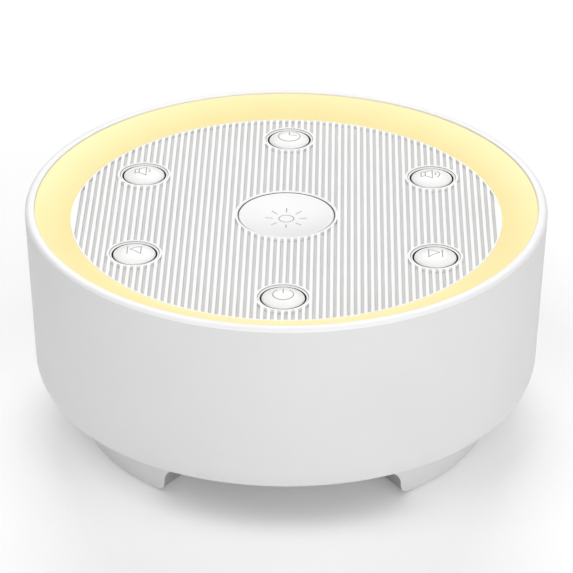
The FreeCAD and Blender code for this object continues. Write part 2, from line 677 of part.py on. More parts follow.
def slot_cutters():
    """Straight sound slots with round ends, kept inside the slot field."""
    cutters = []
    count = int(SLOT_FIELD_RADIUS / SLOT_PITCH)
    for index in range(-count, count + 1):
        y = index * SLOT_PITCH
        half = math.sqrt(SLOT_FIELD_RADIUS ** 2 - y ** 2) - SLOT_WIDTH
        bar = box(2 * half, SLOT_WIDTH, COVER_UNDERSIDE, COVER_TOP, 0, y)
        cutters.append(bar)
        for end in (-half, half):
            cutters.append(cylinder(SLOT_WIDTH / 2, COVER_UNDERSIDE, COVER_TOP, end, y))
    return cutters


def inlet_screw_places():
    """Places of the two screws of the inlet board."""
    return [(side * INLET_SCREW_SPACING / 2, INLET_BOARD_MIDDLE) for side in (-1, 1)]


def speaker_screw_places():
    """Places of the four speaker clamp screws."""
    return [polar(SPEAKER_SCREW_CIRCLE, angle) for angle in SPEAKER_SCREW_ANGLES]


def leg_screw_places():
    """Places of the screws that hold the leg ring to the cover."""
    return [polar(LEG_SCREW_CIRCLE, angle) for angle in LEG_ANGLES]


def base_cover():
    """Bottom cover with sound slots, speaker posts, inlet posts and screw recesses."""
    parts = [cylinder(COVER_RADIUS, COVER_UNDERSIDE, COVER_TOP)]
    holes = slot_cutters()
    for angle in COVER_SCREW_ANGLES:
        x, y = polar(COVER_SCREW_CIRCLE, angle)
        holes.append(cylinder(SCREW_SHANK + LOOSE_FIT, COVER_UNDERSIDE, COVER_TOP, x, y))
        holes.append(cylinder(SCREW_HEAD + LOOSE_FIT, COVER_UNDERSIDE, COVER_UNDERSIDE + SCREW_HEAD_DEPTH, x, y))
    for x, y in speaker_screw_places():
        parts.append(cylinder(POST_RADIUS, COVER_TOP - FIT, BASKET_SEAT, x, y))
        holes.append(screw_hole(x, y, COVER_UNDERSIDE + SCREW_SHANK, BASKET_SEAT))
    for x, y in inlet_screw_places():
        parts.append(cylinder(POST_RADIUS, COVER_TOP - FIT, INLET_BOARD_UNDERSIDE, x, y))
        holes.append(screw_hole(x, y, COVER_UNDERSIDE + SCREW_SHANK, INLET_BOARD_UNDERSIDE))
    for x, y in leg_screw_places():
        parts.append(cylinder(POST_RADIUS, COVER_TOP - FIT, COVER_TOP + LEG_POST_HEIGHT, x, y))
        holes.append(screw_hole(x, y, COVER_UNDERSIDE, COVER_TOP + LEG_POST_HEIGHT - TRAY_FLOOR))
    return fused(parts).cut(holes)


def arch_fillet():
    """Radius of the arch corners, limited by the height of the arch."""
    return min(ARCH_FILLET, ARCH_FILLET_LIMIT * (ARCH_HEIGHT - PAD_PROUD))


def leg_end_points(fillet):
    """Offsets along the arc and heights of the leg end, from the toe to the arch top."""
    slant = math.radians(LEG_END_SLANT)
    fillet_start = ARCH_HEIGHT - fillet * (1 - math.sin(slant))
    fillet_offset = (fillet_start - PAD_PROUD) * math.tan(slant)
    centre_offset = fillet_offset + fillet * math.cos(slant)
    return fillet_start, fillet_offset, centre_offset


def leg_ring():
    """Skirt with three arch feet, cut from one flared ring."""
    top_radius = LEG_OUTER_RADIUS + LEG_FLARE * COVER_UNDERSIDE
    bottom_radius = LEG_OUTER_RADIUS + LEG_FLARE * PAD_PROUD
    flared = Part.makeCone(bottom_radius, top_radius, COVER_UNDERSIDE - PAD_PROUD, vec(0, 0, PAD_PROUD))
    ring = flared.cut(cylinder(LEG_INNER_RADIUS, 0, COVER_TOP))
    half_gap = 180.0 / len(LEG_ANGLES) - LEG_HALF_ANGLE
    for angle in LEG_ANGLES:
        ring = ring.cut(turned(arch_bar(half_gap), angle + 180.0 / len(LEG_ANGLES)))
    holes = []
    for x, y in leg_screw_places():
        holes.append(cylinder(SCREW_SHANK + LOOSE_FIT, PAD_PROUD, COVER_UNDERSIDE, x, y))
        holes.append(cylinder(SCREW_HEAD + LOOSE_FIT, PAD_PROUD, LEG_SCREW_SEAT, x, y))
    for angle in COVER_SCREW_ANGLES:
        x, y = polar(COVER_SCREW_CIRCLE, angle)
        holes.append(cylinder(SCREW_HEAD + 2 * LOOSE_FIT, PAD_PROUD, COVER_UNDERSIDE, x, y))
    ring = ring.cut(holes)
    return ring.cut([turned(pad_shape(LOOSE_FIT / 2, PAD_PROUD), angle) for angle in LEG_ANGLES])


def arch_bar(half_gap):
    """Wedge-shaped opening along +X whose ends have a toe, a slant and a fillet.

    The outline lies on an upright plane at the outer radius and is drawn towards the middle axis,
    so that both ends of the opening stay radial.
    """
    fillet = arch_fillet()
    fillet_start, fillet_offset, centre_offset = leg_end_points(fillet)
    slant = math.radians(LEG_END_SLANT)
    plane = LEG_OUTER_RADIUS
    toe_height = PAD_PROUD + LEG_TOE_RADIUS * (1 - math.sin(slant))
    toe_offset = (toe_height - PAD_PROUD) * math.tan(slant)
    middle_angle = (slant + math.pi / 2) / 2

    def at(offset, height):
        return vec(plane, plane * math.tan(math.radians(half_gap) - offset / plane), height)

    toe_centre = toe_offset - LEG_TOE_RADIUS * math.cos(slant)
    low = PAD_PROUD - FIT
    start = at(toe_centre, low)
    toe_arc_mid = at(
        toe_centre + LEG_TOE_RADIUS * math.cos(middle_angle),
        PAD_PROUD + LEG_TOE_RADIUS * (1 - math.sin(middle_angle)),
    )
    toe_end = at(toe_offset, toe_height)
    slope_end = at(fillet_offset, fillet_start)
    fillet_mid = at(
        centre_offset - fillet * math.cos(middle_angle),
        ARCH_HEIGHT - fillet * (1 - math.sin(middle_angle)),
    )
    crown = at(centre_offset, ARCH_HEIGHT)
    foot = at(toe_centre, PAD_PROUD)

    def mirror(point):
        return vec(point.x, -point.y, point.z)

    right = [
        Part.makeLine(start, foot),
        Part.Arc(foot, toe_arc_mid, toe_end).toShape(),
        Part.makeLine(toe_end, slope_end),
        Part.Arc(slope_end, fillet_mid, crown).toShape(),
    ]
    left = [
        Part.Arc(mirror(crown), mirror(fillet_mid), mirror(slope_end)).toShape(),
        Part.makeLine(mirror(slope_end), mirror(toe_end)),
        Part.Arc(mirror(toe_end), mirror(toe_arc_mid), mirror(foot)).toShape(),
        Part.makeLine(mirror(foot), mirror(start)),
    ]
    bridge = [Part.makeLine(crown, mirror(crown))]
    floor = [Part.makeLine(mirror(start), start)]
    outer = Part.Wire(right + bridge + left + floor)
    return radial_loft(outer, plane)


def radial_loft(outline, plane):
    """Solid between two copies of an outline whose widths grow with the distance from the axis."""
    near = stretched(outline, plane, ARCH_NEAR_SHARE)
    far = stretched(outline, plane, ARCH_FAR_SHARE)
    return Part.makeLoft([near, far], True, True)


def stretched(outline, plane, share):
    """Copy of an outline moved along X and widened in step with its distance."""
    matrix = FreeCAD.Matrix()
    matrix.A22 = share
    matrix.A14 = plane * (share - 1)
    return outline.transformGeometry(matrix)


def pad_shape(margin, bottom):
    """Rubber pad sector on the +X axis with a margin round it."""
    inner = LEG_INNER_RADIUS + PAD_INSET - margin
    outer = LEG_OUTER_RADIUS - PAD_INSET + margin
    grow = math.degrees(margin / outer)
    return sector(inner, outer, PAD_HALF_ANGLE + grow, bottom, PAD_THICKNESS)


def foot_pads():
    """Three rubber pads, one in each foot."""
    return Part.makeCompound([turned(pad_shape(0.0, 0.0), angle) for angle in LEG_ANGLES])


def speaker_basket():
    """Pressed frame with a flange, a windowed cone wall, a ledge for the spider and a back disc."""
    seat = BASKET_SEAT
    metal = BASKET_METAL
    waist = seat + BASKET_WAIST_HEIGHT
    outline = [
        (BASKET_MOUTH - metal, seat),
        (SPEAKER_RADIUS, seat),
        (SPEAKER_RADIUS, seat + metal),
        (BASKET_MOUTH, seat + metal),
        (BASKET_WAIST, waist + metal),
        (BASKET_LEDGE + metal, waist + metal),
        (BASKET_LEDGE + metal, BASKET_BACK),
        (WASHER_BORE + COIL_GAP, BASKET_BACK),
        (WASHER_BORE + COIL_GAP, BASKET_BACK - metal),
        (BASKET_LEDGE, BASKET_BACK - metal),
        (BASKET_LEDGE, waist),
        (BASKET_WAIST - metal / 2, waist),
        (BASKET_MOUTH - metal, seat + metal),
    ]
    basket = revolved(outline)
    places = speaker_screw_places()
    ears = [cylinder(SPEAKER_EAR_RADIUS, seat, seat + metal, x, y) for x, y in places]
    ears = [ear.cut(cylinder(BASKET_MOUTH, seat, seat + metal)) for ear in ears]
    basket = fused([basket] + ears).cut([screw_hole(x, y, seat, seat + metal) for x, y in places])
    windows = []
    for index in range(BASKET_WINDOWS):
        window = sector(
            BASKET_WAIST, SPEAKER_RADIUS, BASKET_WINDOW_ANGLE / 2, seat + 2 * metal, waist - metal / 2
        )
        windows.append(turned(window, 360.0 * index / BASKET_WINDOWS))
    return basket.cut(windows)


def front_washer():
    """Steel washer round the voice coil gap."""
    return tube(WASHER_RADIUS, WASHER_BORE, BASKET_BACK, WASHER_TOP)


def speaker_magnet():
    """Ring magnet."""
    return tube(MAGNET_RADIUS, MAGNET_INNER, WASHER_TOP, MAGNET_TOP)


def magnet_yoke():
    """Back plate with the centre pole."""
    plate = cylinder(WASHER_RADIUS, MAGNET_TOP, YOKE_TOP)
    return plate.fuse(cylinder(POLE_RADIUS, BASKET_BACK, YOKE_TOP)).removeSplitter()


def cone_height(radius):
    """Height of the cone's front face at a radius."""
    share = (radius - FORMER_OUTER) / (SURROUND_INNER_ROLL - FORMER_OUTER)
    return CONE_NECK + (BASKET_SEAT - CONE_NECK) * share


def speaker_cone():
    """Paper cone between the surround and the voice coil former."""
    lip = SURROUND_INNER_ROLL - FIT
    outline = [
        (FORMER_OUTER + FIT, CONE_NECK),
        (lip, BASKET_SEAT),
        (lip, BASKET_SEAT + CONE_THICKNESS),
        (FORMER_OUTER + FIT, CONE_NECK + CONE_THICKNESS),
    ]
    return revolved(outline)


def dust_cap():
    """Domed cap over the middle of the cone's front."""
    rim = cone_height(DUST_CAP_RADIUS) - FIT
    sphere = (DUST_CAP_RADIUS ** 2 + DUST_CAP_HEIGHT ** 2) / (2 * DUST_CAP_HEIGHT)
    centre = vec(0, 0, rim - DUST_CAP_HEIGHT + sphere)
    shell = Part.makeSphere(sphere, centre).cut(Part.makeSphere(sphere - DUST_CAP_THICKNESS, centre))
    return shell.common(cylinder(DUST_CAP_RADIUS, rim - sphere, rim))


def former_top():
    """Upper end of the voice coil former inside the magnet."""
    return MAGNET_TOP - FORMER_TOP_CLEARANCE


def voice_coil_former():
    """Thin tube that joins the cone to the winding."""
    return tube(FORMER_OUTER, FORMER_INNER, CONE_NECK, former_top())


def voice_coil():
    """Copper winding on the former, in the magnet gap."""
    bottom = (BASKET_BACK + WASHER_TOP - WINDING_LENGTH) / 2
    return tube(WINDING_OUTER, FORMER_OUTER, bottom, bottom + WINDING_LENGTH)


def spider():
    """Corrugated centring disc between the former and the basket ledge."""
    base = BASKET_SEAT + BASKET_WAIST_HEIGHT - SPIDER_THICKNESS
    inner = FORMER_OUTER + FIT
    outer = BASKET_WAIST - BASKET_METAL
    rolls = BASKET_LEDGE - inner - SPIDER_WAVE_HEIGHT
    lower = [(inner, base)]
    for index in range(SPIDER_WAVES):
        start = inner + rolls * (index + SPIDER_TROUGH_START) / SPIDER_WAVES
        lower.append((start, base - SPIDER_WAVE_HEIGHT))
        lower.append((start + rolls * SPIDER_TROUGH_SHARE / SPIDER_WAVES, base))
    lower.append((outer, base))
    upper = [(radius, height + SPIDER_THICKNESS) for radius, height in reversed(lower)]
    return revolved(lower + upper)


def surround():
    """Half-roll suspension between the cone and the basket flange."""
    middle = (SURROUND_OUTER_ROLL + SURROUND_INNER_ROLL) / 2
    roll = (SURROUND_OUTER_ROLL - SURROUND_INNER_ROLL) / 2
    lip = SURROUND_LIP
    seat = SURROUND_BOTTOM
    inner = SURROUND_INNER_ROLL - 2 * lip
    outer_arc = Part.Arc(
        vec(middle + roll, 0, seat + lip), vec(middle, 0, seat + lip + roll), vec(middle - roll, 0, seat + lip)
    ).toShape()
    inner_arc = Part.Arc(
        vec(middle - roll + lip, 0, seat), vec(middle, 0, seat + roll), vec(middle + roll - lip, 0, seat)
    ).toShape()
    edges = [
        Part.makeLine(vec(SPEAKER_RADIUS - FIT, 0, seat), vec(SPEAKER_RADIUS - FIT, 0, seat + lip)),
        Part.makeLine(vec(SPEAKER_RADIUS - FIT, 0, seat + lip), vec(middle + roll, 0, seat + lip)),
        outer_arc,
        Part.makeLine(vec(middle - roll, 0, seat + lip), vec(inner, 0, seat + lip)),
        Part.makeLine(vec(inner, 0, seat + lip), vec(inner, 0, seat)),
        Part.makeLine(vec(inner, 0, seat), vec(middle - roll + lip, 0, seat)),
        inner_arc,
        Part.makeLine(vec(middle + roll - lip, 0, seat), vec(SPEAKER_RADIUS - FIT, 0, seat)),
    ]
    return Part.Face(Part.Wire(edges)).revolve(vec(0, 0, 0), vec(0, 0, 1), 360)


def speaker_gasket():
    """Foam ring between the cover and the speaker."""
    return tube(SPEAKER_RADIUS - FIT, GASKET_INNER, COVER_TOP, SURROUND_BOTTOM)


def outlet_cloth():
    """Acoustic cloth over the sound slots."""
    return cylinder(CLOTH_RADIUS, COVER_TOP, COVER_TOP + CLOTH_THICKNESS)


def usb_socket():
    """Socket shell with a centre tongue, its mouth towards +Y."""
    shell = socket_outline(0.0, SOCKET_BACK, SOCKET_MOUTH)
    hollow = socket_outline(-SOCKET_WALL, SOCKET_BACK + SOCKET_BACK_WALL, RIM_RADIUS)
    tongue_length = SOCKET_DEPTH - SOCKET_BACK_WALL
    tongue = Part.makeBox(
        TONGUE_WIDTH,
        tongue_length,
        TONGUE_THICKNESS,
        vec(-TONGUE_WIDTH / 2, SOCKET_BACK + SOCKET_WALL, INLET_HEIGHT - TONGUE_THICKNESS / 2),
    )
    return fused([shell.cut(hollow), tongue])


def inlet_board():
    """Small board under the socket, on two posts."""
    board = box(
        INLET_BOARD_WIDTH, INLET_BOARD_DEPTH, INLET_BOARD_UNDERSIDE, INLET_BOARD_TOP, 0, INLET_BOARD_MIDDLE
    )
    holes = [screw_hole(x, y, INLET_BOARD_UNDERSIDE, INLET_BOARD_TOP) for x, y in inlet_screw_places()]
    return board.cut(holes)


def cover_screws():
    """Three screws that hold the base cover to the shell."""
    seat = COVER_UNDERSIDE + SCREW_HEAD_DEPTH
    places = [polar(COVER_SCREW_CIRCLE, angle) for angle in COVER_SCREW_ANGLES]
    return Part.makeCompound([screw(x, y, seat, COVER_SCREW_LENGTH, True) for x, y in places])


def tray_screws():
    """Three screws that hold the light tray to the shell."""
    seat = BOARD_TOP + TRAY_FLOOR
    places = [polar(TRAY_SCREW_CIRCLE, angle) for angle in TRAY_SCREW_ANGLES]
    return Part.makeCompound([screw(x, y, seat, TRAY_SCREW_LENGTH, False) for x, y in places])


def board_screws():
    """Six screws that hold the control board to the tray."""
    places = board_screw_places()
    return Part.makeCompound([screw(x, y, BOARD_UNDERSIDE, BOARD_SCREW_LENGTH, True) for x, y in places])


def speaker_screws():
    """Four screws that hold the basket ears to the cover posts."""
    seat = BASKET_SEAT + BASKET_METAL
    places = speaker_screw_places()
    return Part.makeCompound([screw(x, y, seat, SPEAKER_SCREW_LENGTH, False) for x, y in places])


def inlet_screws():
    """Two screws that hold the inlet board to its posts."""
    places = inlet_screw_places()
    return Part.makeCompound([screw(x, y, INLET_BOARD_TOP, INLET_SCREW_LENGTH, False) for x, y in places])


def leg_screws():
    """Three screws that hold the leg ring to the cover, sunk in the feet."""
    places = leg_screw_places()
    return Part.makeCompound([screw(x, y, LEG_SCREW_SEAT, LEG_SCREW_LENGTH, True) for x, y in places])


def under_board_box(width, depth, height, angle, circle=PART_CIRCLE):
    """Box that hangs under the control board at a place on a circle."""
    return turned(box(width, depth, BOARD_UNDERSIDE - height, BOARD_UNDERSIDE, circle), angle)


def processor_chip():
    """Processor that plays the stored sounds."""
    return under_board_box(PROCESSOR_SIDE, PROCESSOR_SIDE, CHIP_HEIGHT, PROCESSOR_ANGLE)


def amplifier_chip():
    """Amplifier for the loudspeaker."""
    return under_board_box(AMPLIFIER_SIDE, AMPLIFIER_SIDE, CHIP_HEIGHT, AMPLIFIER_ANGLE)


def memory_chip():
    """Memory that holds the sounds."""
    return under_board_box(AMPLIFIER_SIDE, PROCESSOR_SIDE, CHIP_HEIGHT, MEMORY_ANGLE)


def capacitors():
    """Two round capacitors."""
    cans = []
    for angle in CAPACITOR_ANGLES:
        x, y = polar(PART_CIRCLE, angle)
        cans.append(cylinder(CAPACITOR_RADIUS, BOARD_UNDERSIDE - CAPACITOR_HEIGHT, BOARD_UNDERSIDE, x, y))
    return Part.makeCompound(cans)


def lead_pair(points):
    """Two parallel round wires along straight runs joined by arcs."""
    wires = [wire_tube(points, side * WIRE_SPACING / 2) for side in (-1, 1)]
    return Part.makeCompound(wires)


def wire_tube(points, offset):
    """One round wire along a route in an upright plane, moved sideways by an offset."""
    first = points[0]
    last = points[-1]
    across = vec(first.y - last.y, last.x - first.x, 0).normalize().multiply(offset)
    route = [point.add(across) for point in points]
    edges = []
    start = route[0]
    for before, corner, after in zip(route, route[1:], route[2:]):
        back = before.sub(corner).normalize()
        ahead = after.sub(corner).normalize()
        half_turn = back.getAngle(ahead) / 2
        reach = WIRE_BEND / math.tan(half_turn)
        enter = corner.add(vec(back.x, back.y, back.z).multiply(reach))
        leave = corner.add(vec(ahead.x, ahead.y, ahead.z).multiply(reach))
        inward = back.add(ahead).normalize()
        depth = WIRE_BEND / math.sin(half_turn) - WIRE_BEND
        middle = corner.add(inward.multiply(depth))
        edges.append(Part.makeLine(start, enter))
        edges.append(Part.Arc(enter, middle, leave).toShape())
        start = leave
    edges.append(Part.makeLine(start, route[-1]))
    heading = route[1].sub(route[0])
    profile = Part.Wire(Part.makeCircle(WIRE_RADIUS, route[0], heading))
    return Part.Wire(edges).makePipeShell([profile], True, False)


def speaker_terminal():
    """Terminal strip on the speaker flange."""
    bottom = BASKET_SEAT + BASKET_METAL
    middle = SPEAKER_RADIUS - TERMINAL_DEPTH / 2 - FIT
    return turned(box(TERMINAL_DEPTH, TERMINAL_WIDTH, bottom, bottom + TERMINAL_HEIGHT, middle), SPEAKER_PLUG_ANGLE)


def board_plugs():
    """Plugs of the speaker, power and LED leads under the control board."""
    plug = box(PLUG_WIDTH, PLUG_LENGTH, BOARD_UNDERSIDE - PLUG_HEIGHT, BOARD_UNDERSIDE, PLUG_CIRCLE)
    angles = (SPEAKER_PLUG_ANGLE, POWER_PLUG_ANGLE, LED_PLUG_ANGLE)
    return Part.makeCompound([turned(plug, angle) for angle in angles])


def standing_lead(start, end):
    """Lead pair that leaves upward, crosses over and goes up into its end."""
    return lead_pair([start, start.add(vec(0, 0, WIRE_RISE)), end.sub(vec(0, 0, WIRE_RISE)), end])


def speaker_lead():
    """Two wires from the speaker terminal to their plug."""
    start = polar(SPEAKER_RADIUS - TERMINAL_DEPTH / 2 - FIT, SPEAKER_PLUG_ANGLE)
    end = polar(PLUG_CIRCLE, SPEAKER_PLUG_ANGLE)
    bottom = BASKET_SEAT + BASKET_METAL + TERMINAL_HEIGHT
    return standing_lead(vec(*start, bottom), vec(*end, PLUG_UNDERSIDE))


def power_lead():
    """Two wires from the inlet board to their plug."""
    start = vec(POWER_LEAD_X, INLET_BOARD_FRONT + POWER_LEAD_INSET, INLET_BOARD_TOP)
    return standing_lead(start, vec(*polar(PLUG_CIRCLE, POWER_PLUG_ANGLE), PLUG_UNDERSIDE))


def led_lead():
    """Two wires from the LED board, down through the tray floor, to their plug."""
    height = LED_BOARD_UNDERSIDE - LED_LEAD_DEPTH
    start = polar(LED_CIRCLE, LED_PLUG_ANGLE)
    end = polar(PLUG_CIRCLE + PLUG_WIDTH / 2, LED_PLUG_ANGLE)
    return lead_pair([vec(*start, LED_BOARD_UNDERSIDE), vec(*start, height), vec(*end, height)])


def switch_bodies():
    """Seven switch cases, one under each button."""
    cases = [switch_body()]
    cases += [moved(switch_body(), x, y) for x, y in button_places()]
    return Part.makeCompound(cases)


def pieces():
    """Every piece by name."""
    named = {
        "housing_shell": housing_shell(),
        "light_ring": light_ring(),
        "top_plate": top_plate(),
        "light_tray": light_tray(),
        "led_board": led_board(),
        "leds": leds(),
        "control_board": control_board(),
        "switch_bodies": switch_bodies(),
        "processor_chip": processor_chip(),
        "amplifier_chip": amplifier_chip(),
        "memory_chip": memory_chip(),
        "capacitors": capacitors(),
        "board_plugs": board_plugs(),
        "base_cover": base_cover(),
        "leg_ring": leg_ring(),
        "foot_pads": foot_pads(),
        "outlet_cloth": outlet_cloth(),
        "speaker_gasket": speaker_gasket(),
        "speaker_basket": speaker_basket(),
        "front_washer": front_washer(),
        "speaker_magnet": speaker_magnet(),
        "magnet_yoke": magnet_yoke(),
        "speaker_cone": speaker_cone(),
        "dust_cap": dust_cap(),
        "voice_coil_former": voice_coil_former(),
        "voice_coil": voice_coil(),
        "spider": spider(),
        "surround": surround(),
        "speaker_terminal": speaker_terminal(),
        "usb_socket": usb_socket(),
        "inlet_board": inlet_board(),
        "speaker_lead": speaker_lead(),
        "power_lead": power_lead(),
        "led_lead": led_lead(),
        "cover_screws": cover_screws(),
        "tray_screws": tray_screws(),
        "board_screws": board_screws(),
        "speaker_screws": speaker_screws(),
        "inlet_screws": inlet_screws(),
        "leg_screws": leg_screws(),
        "light_button": light_button_cap(),
        "light_plunger": switch_plunger(),
    }
    for name, angle in BUTTONS:
        x, y = polar(BUTTON_CIRCLE, angle)
        named[name + "_button"] = moved(small_button_cap(), x, y)
        named[name + "_plunger"] = moved(switch_plunger(), x, y)
    return named


def main():
    """Builds every piece and writes it under its own name."""
    os.makedirs("parts", exist_ok=True)
    for name, shape in pieces().items():
        shape.exportStep("parts/" + name + ".step")


if __name__ == "__main__":
    main()
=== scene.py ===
"""Looks of a white noise sound machine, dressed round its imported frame.

The object stands on its three arch feet at the origin, +Z is up and the front is at -Y.
Sizes inside the classes are millimetres; finished meshes are in metres.
"""
import logging
import math
from dataclasses import dataclass, field
from enum import Enum
from typing import Callable, Optional, Sequence

import bmesh
import bpy
from mathutils import Matrix, Vector


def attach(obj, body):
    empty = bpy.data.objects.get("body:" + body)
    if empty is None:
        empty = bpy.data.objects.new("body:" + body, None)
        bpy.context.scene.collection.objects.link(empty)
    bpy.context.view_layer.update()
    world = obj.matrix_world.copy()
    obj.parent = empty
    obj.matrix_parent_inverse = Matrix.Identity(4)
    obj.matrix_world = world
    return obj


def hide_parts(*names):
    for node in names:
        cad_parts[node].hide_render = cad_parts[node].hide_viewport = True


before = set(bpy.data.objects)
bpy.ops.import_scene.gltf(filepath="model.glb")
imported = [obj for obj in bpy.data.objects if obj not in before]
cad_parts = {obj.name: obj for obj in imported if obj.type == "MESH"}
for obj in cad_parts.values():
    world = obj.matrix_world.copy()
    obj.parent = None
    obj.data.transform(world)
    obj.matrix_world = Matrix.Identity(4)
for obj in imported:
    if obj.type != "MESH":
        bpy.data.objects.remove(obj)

LOG = logging.getLogger("sound_machine")

MM = 0.001
FULL_TURN = 2.0 * math.pi
WELD = 1e-4
SHARP = math.radians(35.0)  # an edge that can be rounded turns more
CREASE = math.radians(28.0)  # an edge that turns more stays sharp in shading

# Sizes that several sub-assemblies share, in millimetres
PLATE_TOP = 44.8
PLATE_UNDERSIDE = 42.8
KEY_CIRCLE = 34.25
FEET_TOP = 12.2
COVER_SCREW_CIRCLE = 44.904
FEET_SCREW_CIRCLE = 37.37
SCREW_HEAD_ROOM = 2.1
SCREW_SHANK_ROOM = 1.2
PAST = 1.0  # how far a cutter runs on past what it cuts
NEAR = 0.01  # how far off a place may be in a test

# Facets round a turned shape
HALF_TURN_STEPS = 12
SMALL_TURN = 64
TURN = 96
LARGE_TURN = 192


class Cut(Enum):
    """How one solid changes another."""

    AWAY = "DIFFERENCE"
    COMMON = "INTERSECT"
    JOIN = "UNION"


# Small tools for colours and nodes


def linear(code: str) -> tuple[float, float, float, float]:
    """Turns an sRGB hex colour to a linear one.

    Args:
        code: Colour such as "#f4f4f2".

    Returns:
        Red, green, blue and an alpha of one.
    """
    channels = []
    for start in (1, 3, 5):
        value = int(code[start:start + 2], 16) / 255.0
        channels.append(value / 12.92 if value <= 0.04045 else ((value + 0.055) / 1.055) ** 2.4)
    return (channels[0], channels[1], channels[2], 1.0)


def add_node(
    tree: bpy.types.NodeTree,
    kind: str,
    links: Optional[dict] = None,
    values: Optional[dict] = None,
    stops: Sequence[tuple[float, str]] = (),
    **settings: object,
) -> bpy.types.Node:
    """Adds a node with its settings, its own socket values, its colour stops and its links.

    Args:
        tree: Node tree that the node goes in.
        kind: Node type's name.
        links: Output sockets by the name or number of the input they feed.
        values: Socket values by the name or number of the input.
        stops: Places from 0 to 1 and sRGB hex colours of the two stops of a colour ramp.
        settings: Properties of the node itself.

    Returns:
        The new node.
    """
    node = tree.nodes.new(kind)
    for key, value in settings.items():
        setattr(node, key, value)
    for index, (place, colour) in enumerate(stops):
        node.color_ramp.elements[index].position = place
        node.color_ramp.elements[index].color = linear(colour)
    for key, value in (values or {}).items():
        node.inputs[key].default_value = value
    for key, source in (links or {}).items():
        tree.links.new(source, node.inputs[key])
    return node


def new_material(name: str) -> tuple[bpy.types.Material, bpy.types.NodeTree, bpy.types.NodeSocket]:
    """Starts a material with its output and the object coordinates that its patterns read.

    Args:
        name: Name of the material.

    Returns:
        The material, its empty node tree and the object coordinate socket.
    """
    material = bpy.data.materials.new(name)
    material.use_nodes = True
    tree = material.node_tree
    tree.nodes.clear()
    coordinates = add_node(tree, "ShaderNodeTexCoord")
    return material, tree, coordinates.outputs["Object"]


def per_metre(size_mm: float) -> float:
    """Pattern scale at which one cell of a texture is a size in millimetres."""
    return 1.0 / (size_mm * MM)


def finish_material(
    tree: bpy.types.NodeTree,
    shader: bpy.types.Node,
    height: Optional[bpy.types.NodeSocket] = None,
    strength: float = 1.0,
    depth_mm: float = 0.0,
) -> None:
    """Joins a shader to the material output, with a bump on its normal if it has a relief.

    Args:
        tree: Node tree of the material.
        shader: Surface shader.
        height: Socket whose value is the relief of the surface.
        strength: Share of the relief that shows.
        depth_mm: Depth of the relief.
    """
    if height is not None:
        bump = add_node(tree, "ShaderNodeBump", links={"Height": height},
                        values={"Strength": strength, "Distance": depth_mm * MM})
        tree.links.new(bump.outputs["Normal"], shader.inputs["Normal"])
    add_node(tree, "ShaderNodeOutputMaterial", links={"Surface": shader.outputs[0]})


# Finishes


@dataclass(frozen=True)
class MouldedPlastic:
    """Injection moulded plastic: even colour, a faint flow mottle and the fine grain of its mould."""

    name: str
    colour: str
    mottle: str
    roughness: float
    grain_mm: float
    grain_depth_mm: float
    ior: float = 1.52
    mottle_mm: float = 22.0

    def build(self) -> bpy.types.Material:
        """Makes the material.

        Returns:
            The finished material.
        """
        material, tree, place = new_material(self.name)
        flow = add_node(tree, "ShaderNodeTexNoise", links={"Vector": place},
                        values={"Scale": per_metre(self.mottle_mm), "Detail": 3.0, "Roughness": 0.45})
        colour = add_node(tree, "ShaderNodeValToRGB", links={0: flow.outputs["Fac"]},
                          stops=((0.35, self.mottle), (0.62, self.colour)))
        grain = add_node(tree, "ShaderNodeTexNoise", links={"Vector": place},
                         values={"Scale": per_metre(self.grain_mm), "Detail": 2.0, "Roughness": 0.5})
        gloss = add_node(tree, "ShaderNodeMapRange", links={"Value": grain.outputs["Fac"]},
                         values={"From Min": 0.3, "From Max": 0.7,
                                 "To Min": self.roughness - 0.05, "To Max": self.roughness + 0.05})
        shader = add_node(tree, "ShaderNodeBsdfPrincipled",
                          links={"Base Color": colour.outputs["Color"], "Roughness": gloss.outputs["Result"]},
                          values={"IOR": self.ior})
        finish_material(tree, shader, grain.outputs["Fac"], 1.0, self.grain_depth_mm)
        return material


@dataclass(frozen=True)
class LitDiffuser:
    """Milky polycarbonate lit from behind by warm LEDs: an even pale yellow glow on a satin skin."""

    name: str
    glow: str
    glow_strength: float
    body: str
    cloud: str
    roughness: float
    led_count: int
    pool_share: float

    def build(self) -> bpy.types.Material:
        """Makes the material.

        Returns:
            The finished material, with faint pools of light over the LEDs.
        """
        material, tree, place = new_material(self.name)
        split = add_node(tree, "ShaderNodeSeparateXYZ", links={0: place})
        angle = add_node(tree, "ShaderNodeMath", operation="ARCTAN2",
                         links={0: split.outputs["Y"], 1: split.outputs["X"]})
        turns = add_node(tree, "ShaderNodeMath", operation="MULTIPLY",
                         links={0: angle.outputs[0]}, values={1: float(self.led_count)})
        wave = add_node(tree, "ShaderNodeMath", operation="COSINE", links={0: turns.outputs[0]})
        level = add_node(tree, "ShaderNodeMapRange", links={"Value": wave.outputs[0]},
                         values={"From Min": -1.0, "From Max": 1.0,
                                 "To Min": self.glow_strength * (1.0 - self.pool_share),
                                 "To Max": self.glow_strength * (1.0 + self.pool_share)})
        cloud = add_node(tree, "ShaderNodeTexNoise", links={"Vector": place},
                         values={"Scale": per_metre(9.0), "Detail": 2.0})
        colour = add_node(tree, "ShaderNodeValToRGB", links={0: cloud.outputs["Fac"]},
                          stops=((0.3, self.cloud), (0.7, self.body)))
        shader = add_node(tree, "ShaderNodeBsdfPrincipled",
                          links={"Base Color": colour.outputs["Color"], "Emission Strength": level.outputs["Result"]},
                          values={"Roughness": self.roughness, "IOR": 1.58,
                                  "Emission Color": linear(self.glow)})
        finish_material(tree, shader)
        return material


